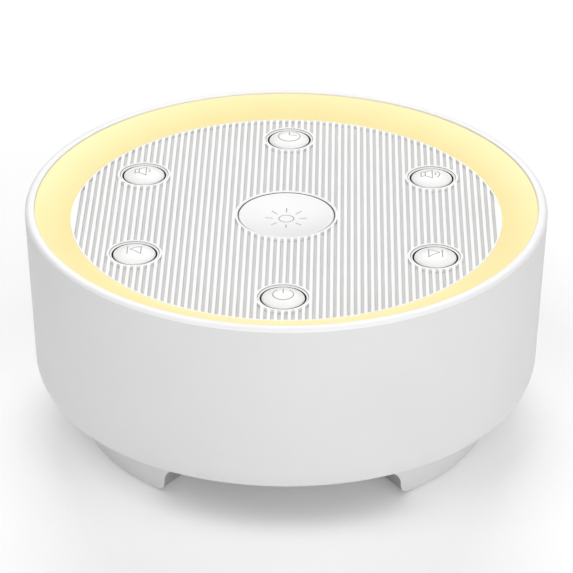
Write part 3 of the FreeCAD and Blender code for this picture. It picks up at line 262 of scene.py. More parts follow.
@dataclass(frozen=True)
class SatinMetal:
    """Rolled, cast or plated metal: a tinted reflection broken by fine streaks or grain."""

    name: str
    colour: str
    shade: str
    roughness: float
    streak_mm: tuple[float, float, float]
    depth_mm: float

    def build(self) -> bpy.types.Material:
        """Makes the material.

        Returns:
            The finished material.
        """
        material, tree, place = new_material(self.name)
        stretch = add_node(tree, "ShaderNodeMapping", links={"Vector": place},
                           values={"Scale": tuple(per_metre(size) for size in self.streak_mm)})
        streak = add_node(tree, "ShaderNodeTexNoise", links={"Vector": stretch.outputs[0]},
                          values={"Scale": 1.0, "Detail": 3.0, "Roughness": 0.6})
        colour = add_node(tree, "ShaderNodeValToRGB", links={0: streak.outputs["Fac"]},
                          stops=((0.3, self.shade), (0.7, self.colour)))
        gloss = add_node(tree, "ShaderNodeMapRange", links={"Value": streak.outputs["Fac"]},
                         values={"To Min": self.roughness - 0.08, "To Max": self.roughness + 0.1})
        shader = add_node(tree, "ShaderNodeBsdfPrincipled",
                          links={"Base Color": colour.outputs["Color"], "Roughness": gloss.outputs["Result"]},
                          values={"Metallic": 1.0})
        finish_material(tree, shader, streak.outputs["Fac"], 0.6, self.depth_mm)
        return material


@dataclass(frozen=True)
class MouldedRubber:
    """Moulded elastomer: dark or grey, dull, with a fine pebbled skin and a dusty bloom."""

    name: str
    colour: str
    bloom: str
    roughness: float
    pebble_mm: float
    depth_mm: float

    def build(self) -> bpy.types.Material:
        """Makes the material.

        Returns:
            The finished material.
        """
        material, tree, place = new_material(self.name)
        dust = add_node(tree, "ShaderNodeTexNoise", links={"Vector": place},
                        values={"Scale": per_metre(4.0), "Detail": 4.0})
        colour = add_node(tree, "ShaderNodeValToRGB", links={0: dust.outputs["Fac"]},
                          stops=((0.4, self.colour), (0.75, self.bloom)))
        pebbles = add_node(tree, "ShaderNodeTexVoronoi", links={"Vector": place},
                           values={"Scale": per_metre(self.pebble_mm)})
        shader = add_node(tree, "ShaderNodeBsdfPrincipled", links={"Base Color": colour.outputs["Color"]},
                          values={"Roughness": self.roughness, "IOR": 1.5})
        finish_material(tree, shader, pebbles.outputs["Distance"], 0.7, self.depth_mm)
        return material


@dataclass(frozen=True)
class PlainWeave:
    """Woven cloth: threads over and under each other, seen as a fine chequer of rounded humps."""

    name: str
    colour: str
    gap: str
    thread_mm: float
    depth_mm: float
    roughness: float = 0.85

    def build(self) -> bpy.types.Material:
        """Makes the material.

        Returns:
            The finished material.
        """
        material, tree, place = new_material(self.name)
        split = add_node(tree, "ShaderNodeSeparateXYZ", links={0: place})
        waves = []
        for axis in ("X", "Y"):
            phase = add_node(tree, "ShaderNodeMath", operation="MULTIPLY", links={0: split.outputs[axis]},
                             values={1: math.pi * per_metre(self.thread_mm)})
            waves.append(add_node(tree, "ShaderNodeMath", operation="SINE", links={0: phase.outputs[0]}))
        product = add_node(tree, "ShaderNodeMath", operation="MULTIPLY",
                           links={0: waves[0].outputs[0], 1: waves[1].outputs[0]})
        hump = add_node(tree, "ShaderNodeMath", operation="ABSOLUTE", links={0: product.outputs[0]})
        colour = add_node(tree, "ShaderNodeValToRGB", links={0: hump.outputs[0]},
                          stops=((0.05, self.gap), (0.45, self.colour)))
        shader = add_node(tree, "ShaderNodeBsdfPrincipled", links={"Base Color": colour.outputs["Color"]},
                          values={"Roughness": self.roughness, "Sheen Weight": 0.3, "Sheen Roughness": 0.5})
        finish_material(tree, shader, hump.outputs[0], 0.8, self.depth_mm)
        return material


@dataclass(frozen=True)
class PorousSheet:
    """Foam or pressed paper pulp: small open cells or fibres over an even dark colour."""

    name: str
    colour: str
    cell: str
    cell_mm: float
    depth_mm: float
    roughness: float = 0.9

    def build(self) -> bpy.types.Material:
        """Makes the material.

        Returns:
            The finished material.
        """
        material, tree, place = new_material(self.name)
        cells = add_node(tree, "ShaderNodeTexVoronoi", links={"Vector": place},
                         values={"Scale": per_metre(self.cell_mm)})
        fibre = add_node(tree, "ShaderNodeTexNoise", links={"Vector": place},
                         values={"Scale": per_metre(self.cell_mm * 2.5), "Detail": 4.0})
        mixed = add_node(tree, "ShaderNodeMath", operation="MULTIPLY",
                         links={0: cells.outputs["Distance"], 1: fibre.outputs["Fac"]})
        colour = add_node(tree, "ShaderNodeValToRGB", links={0: mixed.outputs[0]},
                          stops=((0.08, self.cell), (0.4, self.colour)))
        shader = add_node(tree, "ShaderNodeBsdfPrincipled", links={"Base Color": colour.outputs["Color"]},
                          values={"Roughness": self.roughness})
        finish_material(tree, shader, mixed.outputs[0], 0.8, self.depth_mm)
        return material


@dataclass(frozen=True)
class CircuitBoard:
    """Glass cloth laminate under solder mask: a faint weave and raised copper tracks in a darker tone."""

    name: str
    mask: str
    track: str
    track_mm: float
    weave_mm: float
    roughness: float = 0.35

    def build(self) -> bpy.types.Material:
        """Makes the material.

        Returns:
            The finished material.
        """
        material, tree, place = new_material(self.name)
        tracks = add_node(tree, "ShaderNodeTexBrick", links={"Vector": place},
                          values={"Scale": per_metre(self.track_mm), "Mortar Size": 0.06,
                                  "Brick Width": 3.5, "Row Height": 0.7,
                                  "Color1": linear(self.mask), "Color2": linear(self.mask),
                                  "Mortar": linear(self.track)})
        weave = add_node(tree, "ShaderNodeTexChecker", links={"Vector": place},
                         values={"Scale": per_metre(self.weave_mm)})
        height = add_node(tree, "ShaderNodeMath", operation="MULTIPLY_ADD",
                          links={0: weave.outputs["Fac"], 2: tracks.outputs["Fac"]}, values={1: 0.15})
        shader = add_node(tree, "ShaderNodeBsdfPrincipled", links={"Base Color": tracks.outputs["Color"]},
                          values={"Roughness": self.roughness, "IOR": 1.55})
        finish_material(tree, shader, height.outputs[0], 0.5, 0.03)
        return material


@dataclass(frozen=True)
class WoundWire:
    """Enamelled copper wire wound in close turns round Z: fine bright bands with dark gaps."""

    name: str
    colour: str
    gap: str
    wire_mm: float

    def build(self) -> bpy.types.Material:
        """Makes the material.

        Returns:
            The finished material.
        """
        material, tree, place = new_material(self.name)
        split = add_node(tree, "ShaderNodeSeparateXYZ", links={0: place})
        phase = add_node(tree, "ShaderNodeMath", operation="MULTIPLY", links={0: split.outputs["Z"]},
                         values={1: math.pi * per_metre(self.wire_mm)})
        wave = add_node(tree, "ShaderNodeMath", operation="SINE", links={0: phase.outputs[0]})
        turn = add_node(tree, "ShaderNodeMath", operation="ABSOLUTE", links={0: wave.outputs[0]})
        colour = add_node(tree, "ShaderNodeValToRGB", links={0: turn.outputs[0]},
                          stops=((0.1, self.gap), (0.4, self.colour)))
        shader = add_node(tree, "ShaderNodeBsdfPrincipled", links={"Base Color": colour.outputs["Color"]},
                          values={"Metallic": 1.0, "Roughness": 0.3, "Coat Weight": 0.6})
        finish_material(tree, shader, turn.outputs[0], 0.9, 0.3 * self.wire_mm)
        return material


@dataclass(frozen=True)
class Finishes:
    """Every finish of the machine: the record's material slots, and the second finishes of some of them."""

    # Spark-eroded white ABS: the skin scatters light evenly and shows only a faint orange peel. Its light grey is
    # painted shade: the walls are a shaded copy of the white on the tops.
    white_abs: MouldedPlastic = MouldedPlastic(
        "white_abs_satin_moulded", "#e5e5e5", "#e3e3e3", 0.46, 0.35, 0.003, 1.53)
    # The same ABS at the top plate and the rim's top: a brighter white with a finer skin, a lit copy that paints
    # light on the tops.
    plate_abs: MouldedPlastic = MouldedPlastic(
        "white_abs_top_plate_painted_light", "#f9f9f9", "#f7f7f7", 0.5, 0.3, 0.002, 1.53)
    # The plate's ABS on the groove floors and in the bezel seams: a light grey of painted shade between the ribs.
    groove_painted_shade: MouldedPlastic = MouldedPlastic(
        "white_abs_groove_floor_painted_shade", "#cfcfcf", "#cbcbcb", 0.6, 0.2, 0.004, 1.53)
    # Finely blasted mould for the caps: the same white with a softer sheen than the wall.
    white_button: MouldedPlastic = MouldedPlastic(
        "white_abs_satin_caps", "#fbfbfb", "#f8f8f8", 0.4, 0.3, 0.002, 1.53)
    # The dished cap's face: the same satin in a slightly deeper white, painted shade for the dish.
    dish_face: MouldedPlastic = MouldedPlastic(
        "white_abs_dished_cap", "#f1f1f1", "#eeeeee", 0.45, 0.3, 0.002, 1.53)
    # Diffuser grade polycarbonate: glows evenly, so its own shading almost disappears.
    warm_diffuser: LitDiffuser = LitDiffuser(
        "warm_lit_polycarbonate_diffuser", "#feedaa", 0.75, "#7e774e", "#7c754d", 0.42, 24, 0.006)
    # Reflector grade ABS of the tray: plain white and a little glossy.
    white_tray: MouldedPlastic = MouldedPlastic(
        "white_abs_reflector_tray", "#f4f4f0", "#ecece8", 0.35, 0.6, 0.004, 1.53)
    # White solder mask under the LEDs.
    white_board: CircuitBoard = CircuitBoard(
        "white_mask_led_board", "#f2f2ee", "#d9d9d2", 2.2, 0.5)
    # Green solder mask over epoxy glass cloth.
    green_board: CircuitBoard = CircuitBoard(
        "green_mask_epoxy_glass_board", "#14562f", "#1f7a45", 1.6, 0.5)
    # Phosphor in silicone: opaque egg yellow with a wet look.
    led_yellow: MouldedPlastic = MouldedPlastic(
        "yellow_phosphor_silicone", "#f2d774", "#e9c659", 0.2, 0.2, 0.003, 1.41, 1.2)
    # Glass filled black nylon or epoxy: matt, with a speckle of filler.
    black_plastic: MouldedPlastic = MouldedPlastic(
        "black_epoxy_moulding", "#1d1d1f", "#161617", 0.5, 0.18, 0.006, 1.55, 3.0)
    # Natural nylon of the plugs: creamy and slightly waxy.
    cream_nylon: MouldedPlastic = MouldedPlastic(
        "natural_nylon_moulding", "#ece3cd", "#e2d7bb", 0.4, 0.4, 0.004, 1.53, 2.5)
    # Drawn aluminium cans with a sleeve of fine lines round them.
    can_aluminium: SatinMetal = SatinMetal(
        "drawn_aluminium_can", "#d6d8da", "#b9bcbf", 0.32, (2.5, 2.5, 0.12), 0.004)
    # Grey non-slip elastomer of the foot pads.
    grey_rubber: MouldedRubber = MouldedRubber(
        "grey_elastomer_foot_pad", "#8f9092", "#a9aaab", 0.8, 0.35, 0.02)
    # Black polyester acoustic cloth behind the sound slots.
    black_cloth: PlainWeave = PlainWeave(
        "black_polyester_acoustic_cloth", "#232325", "#070708", 0.45, 0.12)
    # Closed-cell foam of the speaker gasket.
    black_foam: PorousSheet = PorousSheet(
        "black_closed_cell_foam", "#242426", "#0c0c0d", 0.5, 0.08)
    # Powder coated pressed steel of the speaker frame.
    black_steel: MouldedPlastic = MouldedPlastic(
        "black_powder_coated_steel", "#1b1b1c", "#141415", 0.45, 0.3, 0.012, 1.5, 6.0)
    # Zinc plated steel: cool grey with a milky bloom.
    zinc_steel: SatinMetal = SatinMetal(
        "zinc_plated_steel", "#c3c8cc", "#9aa0a5", 0.36, (1.2, 1.2, 1.2), 0.003)
    # Sintered ferrite: almost black, ground dull.
    ferrite: MouldedPlastic = MouldedPlastic(
        "ground_sintered_ferrite", "#3a3a3c", "#2a2a2c", 0.62, 0.12, 0.01, 2.0, 2.0)
    # Felted paper pulp of the speaker cone.
    black_paper: PorousSheet = PorousSheet(
        "black_felted_paper_cone", "#2b2a2a", "#151515", 0.35, 0.05, 0.8)
    # Resin bonded paper of the coil former and terminal strip.
    brown_former: MouldedPlastic = MouldedPlastic(
        "resin_bonded_paper", "#6b4325", "#573419", 0.55, 0.3, 0.008, 1.5, 1.5)
    # Enamelled copper winding.
    copper: WoundWire = WoundWire("enamelled_copper_winding", "#c9733f", "#4a2110", 0.2)
    # Resin dipped cotton of the spider.
    tan_cloth: PlainWeave = PlainWeave("resin_dipped_cotton", "#b98e55", "#7d5a2f", 0.4, 0.1, 0.75)
    # Butyl rubber of the surround.
    black_rubber: MouldedRubber = MouldedRubber(
        "black_butyl_rubber", "#1a1a1b", "#2a2a2b", 0.6, 0.25, 0.01)
    # Nickel plated steel of the power socket.
    nickel: SatinMetal = SatinMetal(
        "nickel_plated_steel", "#d2cfc8", "#b5b1a8", 0.24, (0.4, 3.0, 0.4), 0.002)
    # Soft PVC over the stranded leads.
    wire_insulation: MouldedPlastic = MouldedPlastic(
        "white_pvc_wire_insulation", "#e4e4e2", "#d8d8d6", 0.38, 0.3, 0.004, 1.53, 4.0)
    # Zinc plated screws.
    screw_steel: SatinMetal = SatinMetal(
        "zinc_plated_screw_steel", "#c9ccce", "#a3a7aa", 0.28, (0.5, 0.5, 0.5), 0.003)
    # Pad-printed grey ink: matt and a little uneven where the pad lifted.
    ink: MouldedPlastic = MouldedPlastic(
        "grey_pad_printed_ink", "#a19f9e", "#9a9897", 0.6, 0.15, 0.002, 1.5, 1.0)
    # ABS on the walls of the gaps round the caps and of the bores: a matt black of painted shade for the deep gaps.
    gap_painted_shade: MouldedPlastic = MouldedPlastic(
        "abs_gap_wall_painted_shade", "#39393a", "#2c2c2d", 0.7, 0.3, 0.003, 1.53)
    # The feet's ABS on their radial ends: a matt grey of painted shade, for the shade under the arches.
    foot_end: MouldedPlastic = MouldedPlastic(
        "white_abs_foot_end_painted_shade", "#aaaaab", "#a2a2a3", 0.6, 0.3, 0.003, 1.53)
    # Gold flashed contacts in the power socket.
    gold: SatinMetal = SatinMetal(
        "gold_flashed_contact", "#e2b765", "#c99a45", 0.22, (0.2, 2.0, 0.2), 0.001)

    def build(self) -> dict[str, bpy.types.Material]:
        """Makes every material.

        Returns:
            Materials by slot name.
        """
        return {name: getattr(self, name).build() for name in self.__dataclass_fields__}


# Outlines and solids


class Outline:
    """Outline of radius and height pairs in the XZ plane, in millimetres, that grows point by point."""

    def __init__(self, radius: float, height: float, rounding: float = 0.0) -> None:
        """Starts the outline at a point.

        Args:
            radius: Distance from the Z axis, along X.
            height: Height.
            rounding: Radius that rounds this corner once the outline is closed.
        """
        self.mesh = bmesh.new()
        self.first = self.mesh.verts.new((radius, 0.0, height))
        self.last = self.first
        self.corners: list[tuple[bmesh.types.BMVert, float]] = []
        if rounding:
            self.corners.append((self.first, rounding))

    def line(self, radius: float, height: float, rounding: float = 0.0) -> "Outline":
        """Runs straight to a point.

        Args:
            radius: Distance from the Z axis, along X.
            height: Height.
            rounding: Radius that rounds the corner at this point.

        Returns:
            The outline itself.
        """
        vert = self.mesh.verts.new((radius, 0.0, height))
        self.mesh.edges.new((self.last, vert))
        self.last = vert
        if rounding:
            self.corners.append((vert, rounding))
        return self

    def arc(self, radius: float, height: float, degrees: float, steps: int = 12) -> "Outline":
        """Turns about a centre, counterclockwise with X to the right and Z up.

        Args:
            radius: The centre's place along X.
            height: The centre's height.
            degrees: Angle of the arc.
            steps: Number of short edges.

        Returns:
            The outline itself.
        """
        made = bmesh.ops.spin(self.mesh, geom=[self.last], cent=(radius, 0.0, height), axis=(0.0, -1.0, 0.0),
                              angle=math.radians(degrees), steps=steps)
        self.last = points(made["geom_last"])[0]
        return self

    def close(self) -> "Outline":
        """Joins the last point to the first."""
        self.mesh.edges.new((self.last, self.first))
        return self

    def rounded(self, steps: int = 4) -> bmesh.types.BMesh:
        """Rounds the marked corners.

        Args:
            steps: Edges in each rounding.

        Returns:
            The outline's mesh.
        """
        for vert, radius in self.corners:
            first, second = (edge.other_vert(vert).co - vert.co for edge in vert.link_edges)
            reach = radius / math.tan(first.angle(second) / 2.0)
            bmesh.ops.bevel(self.mesh, geom=[vert], offset=reach, offset_type="OFFSET", affect="VERTICES",
                            segments=steps, profile=0.5, material=-1)
        return self.mesh

    def spun(self, segments: int, steps: int = 4) -> bmesh.types.BMesh:
        """Spins the outline about Z.

        Args:
            segments: Facets round the axis.
            steps: Edges in each corner rounding.

        Returns:
            The closed solid.
        """
        mesh = self.rounded(steps)
        bmesh.ops.spin(mesh, geom=mesh.verts[:] + mesh.edges[:], cent=(0.0, 0.0, 0.0), axis=(0.0, 0.0, 1.0),
                       angle=FULL_TURN, steps=segments, use_merge=True)
        return sealed(mesh)

    def extruded(self, depth: float, steps: int = 4) -> bmesh.types.BMesh:
        """Extrudes the closed outline along +Y.

        Args:
            depth: Length along Y.
            steps: Edges in each corner rounding.

        Returns:
            The closed solid, which starts at Y zero.
        """
        mesh = self.rounded(steps)
        bmesh.ops.edgeloop_fill(mesh, edges=mesh.edges[:])
        made = bmesh.ops.extrude_face_region(mesh, geom=mesh.faces[:])
        bmesh.ops.translate(mesh, vec=(0.0, depth, 0.0), verts=points(made["geom"]))
        return sealed(mesh)


def baked(name: str, mesh: bmesh.types.BMesh) -> bpy.types.Mesh:
    """Turns a mesh into mesh data, and frees it.

    Args:
        name: Name of the data.
        mesh: Mesh that is freed.

    Returns:
        The mesh data.
    """
    data = bpy.data.meshes.new(name)
    mesh.to_mesh(data)
    mesh.free()
    return data


def linked(name: str, data: bpy.types.ID) -> bpy.types.Object:
    """Adds an object to the scene.

    Args:
        name: Name of the object.
        data: What it shows: a mesh, a light or a camera.

    Returns:
        The object.
    """
    thing = bpy.data.objects.new(name, data)
    bpy.context.scene.collection.objects.link(thing)
    return thing


def points(items: Sequence[object]) -> list[bmesh.types.BMVert]:
    """Picks the points among what an operator returns."""
    return [item for item in items if isinstance(item, bmesh.types.BMVert)]


def sealed(mesh: bmesh.types.BMesh) -> bmesh.types.BMesh:
    """Merges doubled points, then turns every face outwards.

    Args:
        mesh: Mesh to close.

    Returns:
        The same mesh.
    """
    bmesh.ops.remove_doubles(mesh, verts=mesh.verts, dist=WELD)
    bmesh.ops.recalc_face_normals(mesh, faces=mesh.faces)
    return mesh


def placed(mesh: bmesh.types.BMesh, matrix: Matrix) -> bmesh.types.BMesh:
    """Moves a mesh by a matrix."""
    bmesh.ops.transform(mesh, matrix=matrix, verts=mesh.verts)
    return mesh


def at(x: float = 0.0, y: float = 0.0, z: float = 0.0, degrees: float = 0.0) -> Matrix:
    """Place of a piece: turned about Z, then moved."""
    return Matrix.Translation((x, y, z)) @ Matrix.Rotation(math.radians(degrees), 4, "Z")


def polar(radius: float, degrees: float) -> tuple[float, float]:
    """X and Y of a point at a radius and an angle."""
    return radius * math.cos(math.radians(degrees)), radius * math.sin(math.radians(degrees))


def together(meshes: Sequence[bmesh.types.BMesh]) -> bmesh.types.BMesh:
    """Gathers meshes in one, and frees them.

    Args:
        meshes: Meshes that don't need welding.

    Returns:
        One mesh with all their faces.
    """
    whole = bmesh.new()
    for mesh in meshes:
        carrier = baked("carrier", mesh)
        whole.from_mesh(carrier)
        bpy.data.meshes.remove(carrier)
    return whole


def bar(length: float, depth: float, height: float, rounding: float = 0.0) -> bmesh.types.BMesh:
    """Block centred on X and Y that stands on Z zero.

    Args:
        length: Size along X.
        depth: Size along Y.
        height: Size along Z.
        rounding: Bevel of all its edges.

    Returns:
        The block's mesh.
    """
    mesh = bmesh.new()
    bmesh.ops.create_cube(mesh, size=1.0)
    bmesh.ops.scale(mesh, vec=(length, depth, height), verts=mesh.verts)
    bmesh.ops.translate(mesh, vec=(0.0, 0.0, height / 2.0), verts=mesh.verts)
    if rounding:
        bmesh.ops.bevel(mesh, geom=mesh.edges[:], offset=rounding, offset_type="OFFSET", affect="EDGES",
                        segments=3, profile=0.5, material=-1)
    return mesh


def round_bar(radius: float, height: float, segments: int = 48) -> bmesh.types.BMesh:
    """Upright rod that stands on Z zero.

    Args:
        radius: Radius of the rod.
        height: Its height.
        segments: Facets round it.

    Returns:
        The rod's mesh.
    """
    mesh = bmesh.new()
    bmesh.ops.create_cone(mesh, cap_ends=True, segments=segments, radius1=radius, radius2=radius, depth=height)
    bmesh.ops.translate(mesh, vec=(0.0, 0.0, height / 2.0), verts=mesh.verts)
    return mesh


def slot_bar(length: float, width: float, height: float) -> bmesh.types.BMesh:
    """Upright bar with round ends, long along X, that stands on Z zero.

    Args:
        length: Distance between the centres of its ends.
        width: Width of the bar.
        height: Its height.

    Returns:
        The bar's mesh.
    """
    mesh = bmesh.new()
    start = mesh.verts.new((length / 2.0, -width / 2.0, 0.0))
    last = start
    for side in (1.0, -1.0):
        centre = (side * length / 2.0, 0.0, 0.0)
        made = bmesh.ops.spin(mesh, geom=[last], cent=centre, axis=(0.0, 0.0, 1.0), angle=math.pi,
                              steps=HALF_TURN_STEPS)
        last = points(made["geom_last"])[0]
        target = mesh.verts.new((-side * length / 2.0, side * width / 2.0, 0.0)) if side > 0 else start
        mesh.edges.new((last, target))
        last = target
    bmesh.ops.edgeloop_fill(mesh, edges=mesh.edges[:])
    made = bmesh.ops.extrude_face_region(mesh, geom=mesh.faces[:])
    bmesh.ops.translate(mesh, vec=(0.0, 0.0, height), verts=points(made["geom"]))
    return sealed(mesh)


def combined(base: bmesh.types.BMesh, tool: bmesh.types.BMesh, how: Cut) -> bmesh.types.BMesh:
    """Cuts, keeps or joins one solid by another.

    Args:
        base: Solid that is changed.
        tool: Solid that changes it; it is freed.
        how: What is done.

    Returns:
        The resulting solid.
    """
    holders = [linked(name, baked(name, mesh)) for name, mesh in (("base", base), ("tool", tool))]
    modifier = holders[0].modifiers.new("cut", "BOOLEAN")
    modifier.operation = how.value
    modifier.solver = "EXACT"
    modifier.object = holders[1]
    bpy.context.view_layer.update()
    graph = bpy.context.evaluated_depsgraph_get()
    data = bpy.data.meshes.new_from_object(holders[0].evaluated_get(graph))
    result = bmesh.new()
    result.from_mesh(data)
    bpy.data.meshes.remove(data)
    for holder in holders:
        data = holder.data
        bpy.data.objects.remove(holder)
        bpy.data.meshes.remove(data)
    return sealed(result)


def soften_edges(mesh: bmesh.types.BMesh, radius: float, chosen: Callable[[bmesh.types.BMEdge], bool]) -> None:
    """Rounds the sharp edges that a test picks.

    Args:
        mesh: Solid that is changed.
        radius: Radius of the rounding.
        chosen: Test that an edge has to pass.
    """
    edges = [edge for edge in mesh.edges
             if len(edge.link_faces) == 2 and edge.calc_face_angle(0.0) > SHARP and chosen(edge)]
    bmesh.ops.bevel(mesh, geom=edges, offset=radius, offset_type="OFFSET", affect="EDGES", segments=3,
                    profile=0.5, material=-1, clamp_overlap=True)


@dataclass
class Workshop:
    """Turns solids into dressed pieces that ride on their bodies."""

    materials: dict[str, bpy.types.Material]
    made: list[str] = field(default_factory=list)

    def piece(
        self,
        name: str,
        mesh: bmesh.types.BMesh,
        body: str,
        slot: str,
        replaces: Sequence[str] = (),
    ) -> bpy.types.Object:
        """Finishes a mesh as a piece.

        Args:
            name: The piece's name.
            mesh: Its mesh in millimetres, which is freed.
            body: Body that it rides on.
            slot: Key of its material.
            replaces: CAD nodes that it stands for.

        Returns:
            The new object.
        """
        bmesh.ops.scale(mesh, vec=(MM, MM, MM), verts=mesh.verts)
        data = baked(name, mesh)
        data.shade_smooth()
        data.set_sharp_from_angle(angle=CREASE)
        data.materials.append(self.materials[slot])
        thing = linked(name, data)
        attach(thing, body)
        if replaces:
            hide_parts(*replaces)
        self.made.append(name)
        LOG.info("piece %s rides on %s, %d faces", name, body, len(data.polygons))
        return thing

    def accent(self, thing: bpy.types.Object, tests: dict[str, Callable[[Vector, Vector], bool]]) -> None:
        """Gives further finishes to the faces that their tests pick.

        Args:
            thing: The finished piece.
            tests: Test of a face's middle in millimetres and its normal, by the finish's key. A later one holds
                over an earlier one.
        """
        for index, (slot, chosen) in enumerate(tests.items(), 1):
            thing.data.materials.append(self.materials[slot])
            for polygon in thing.data.polygons:
                if chosen(polygon.center / MM, polygon.normal):
                    polygon.material_index = index


# Sub-assemblies


@dataclass(frozen=True)
class SocketOutline:
    """Rounded outline of the power socket, which the wall's opening follows."""

    height: float = 21.0
    width: float = 8.94
    tall: float = 3.2
    corner: float = 1.5
    fullest_corner: float = 0.98

    def bar(self, margin: float, near: float, far: float) -> bmesh.types.BMesh:
        """Makes a rounded bar along Y.

        Args:
            margin: Room round the socket.
            near: Where it starts along Y.
            far: Where it ends.

        Returns:
            The bar.
        """
        half_width, half_height = self.width / 2.0 + margin, self.tall / 2.0 + margin
        corner = min(self.corner + margin, self.fullest_corner * half_height)
        outline = Outline(-half_width, self.height - half_height, corner)
        outline.line(half_width, self.height - half_height, corner)
        outline.line(half_width, self.height + half_height, corner)
        outline.line(-half_width, self.height + half_height, corner)
        return placed(outline.close().extruded(far - near, 8), at(y=near))


@dataclass
class TubWall:
    """White tub wall with a drafted outside, a rounded lower edge, a thin rim and the inlet pocket."""

    rim_radius: float = 52.58
    rim_height: float = 47.9
    rim_wall: float = 1.97
    rim_rounding: float = 0.9
    rim_inner_rounding: float = 0.25
    rim_facing: float = 0.2
    seat_height: float = 45.7
    draft: float = 2.08
    wall: float = 2.2
    arc_top: float = 15.235
    arc_radius: float = 6.97
    arc_end: float = 30.5
    arc_steps: int = 14
    lip: float = 2.35
    lip_rounding: float = 0.3
    cover_top: float = 14.2
    chamfer: float = 3.2
    inlet: SocketOutline = SocketOutline()
    inlet_reach: tuple[float, float] = (40.0, 60.0)
    pocket_margin: float = 1.7
    pocket_depth: float = 0.8
    hole_margin: float = 0.2
    pocket_rounding: float = 0.25
    boss_radius: float = 3.0
    cover_bosses: tuple[float, ...] = (30.0, 150.0, 270.0)
    cover_boss_circle: float = COVER_SCREW_CIRCLE
    cover_boss_height: float = 12.0
    tray_bosses: tuple[float, ...] = (22.5, 142.5, 262.5)
    tray_boss_circle: float = 46.596
    tray_boss_top: float = 35.4
    tray_boss_length: float = 9.0
    segments: int = 384

    def radius(self, height: float) -> float:
        """Outer radius of the drafted wall at a height."""
        return self.rim_radius - (self.rim_height - height) * math.tan(math.radians(self.draft))

    def shell(self) -> bmesh.types.BMesh:
        """Spins the wall.

        Returns:
            The plain wall.
        """
        start = self.radius(self.arc_top)
        centre_radius = start - self.arc_radius * math.cos(math.radians(self.draft))
        centre_height = self.arc_top + self.arc_radius * math.sin(math.radians(self.draft))
        outline = Outline(self.rim_radius - self.rim_wall, self.rim_height, self.rim_inner_rounding)
        outline.line(self.rim_radius, self.rim_height, self.rim_rounding)
        outline.line(start, self.arc_top)
        outline.arc(centre_radius, centre_height, self.draft - self.arc_end, self.arc_steps)
        edge_radius, edge_height = outline.last.co.x, outline.last.co.z
        outline.line(edge_radius - self.lip, edge_height, self.lip_rounding)
        outline.line(edge_radius - self.lip, self.cover_top)
        top = self.cover_top + self.chamfer
        outline.line(self.radius(top) - self.wall, top)
        outline.line(self.radius(self.seat_height) - self.wall, self.seat_height)
        outline.line(self.rim_radius - self.rim_wall, self.seat_height)
        return outline.close().spun(self.segments, 5)

    def bosses(self) -> list[bmesh.types.BMesh]:
        """Makes the screw bosses inside the wall.

        Returns:
            The bosses with their webs.
        """
        made = []
        for angles, circle, bottom, top in (
            (self.cover_bosses, self.cover_boss_circle, self.cover_top, self.cover_top + self.cover_boss_height),
            (self.tray_bosses, self.tray_boss_circle, self.tray_boss_top - self.tray_boss_length, self.tray_boss_top),
        ):
            reach = self.radius(bottom) - self.wall / 2.0 - circle
            for angle in angles:
                x, y = polar(circle, angle)
                made.append(placed(round_bar(self.boss_radius, top - bottom), at(x, y, bottom)))
                x, y = polar(circle + reach / 2.0, angle)
                made.append(placed(bar(reach, self.boss_radius, top - bottom), at(x, y, bottom, angle)))
        return made

    def build(self, workshop: Workshop) -> None:
        """Makes the wall."""
        near, far = self.inlet_reach
        wall = combined(self.shell(), self.inlet.bar(self.hole_margin, near, far), Cut.AWAY)
        floor = self.radius(self.inlet.height) - self.pocket_depth
        wall = combined(wall, self.inlet.bar(self.pocket_margin, floor, far), Cut.AWAY)
        reach = self.inlet.width / 2.0 + self.pocket_margin + PAST

        def on_inlet(edge: bmesh.types.BMEdge) -> bool:
            """Tells whether an edge runs round the inlet pocket."""
            ends = [vert.co for vert in edge.verts]
            return all(
                abs(point.x) < reach and abs(point.z - self.inlet.height) < reach and point.y > floor - NEAR
                for point in ends
            )

        soften_edges(wall, self.pocket_rounding, on_inlet)
        tub = workshop.piece("tub_wall", together([wall] + self.bosses()), "housing", "white_abs", ["housing_shell"])
        # The rim's top takes the brighter copy of the white: painted light.
        workshop.accent(tub, {"plate_abs": self.on_rim})

    def on_rim(self, place: Vector, normal: Vector) -> bool:
        """Tells whether a face belongs to the bright top of the rim, which gets the lit copy of the white: painted
        light.
        """
        return place.z > self.rim_height - self.rim_rounding and normal.z > self.rim_facing


@dataclass
class LightBand:
    """Glowing ring between the rim and the ribbed plate."""

    outer: float = 50.58
    inner: float = 43.58
    lip_inner: float = 48.44
    bottom: float = 45.9
    thickness: float = 1.75
    slope: float = 2.84
    rim_rounding: float = 0.2
    foot_rounding: float = 0.12
    plate_underside: float = PLATE_UNDERSIDE
    segments: int = 256

    def build(self, workshop: Workshop) -> None:
        """Makes the ring."""
        top = self.bottom + self.thickness
        foot = self.thickness / 2.0
        outline = Outline(self.outer, top, self.rim_rounding)
        outline.line(self.outer, self.bottom)
        outline.line(self.lip_inner, self.bottom)
        outline.line(self.inner + 2.0 * foot, self.plate_underside + foot)
        outline.line(self.inner + foot, self.plate_underside)
        outline.line(self.inner, self.plate_underside)
        outline.line(self.inner, top - self.slope, self.foot_rounding)
        workshop.piece("light_band", outline.close().spun(self.segments), "housing", "warm_diffuser", ["light_ring"])


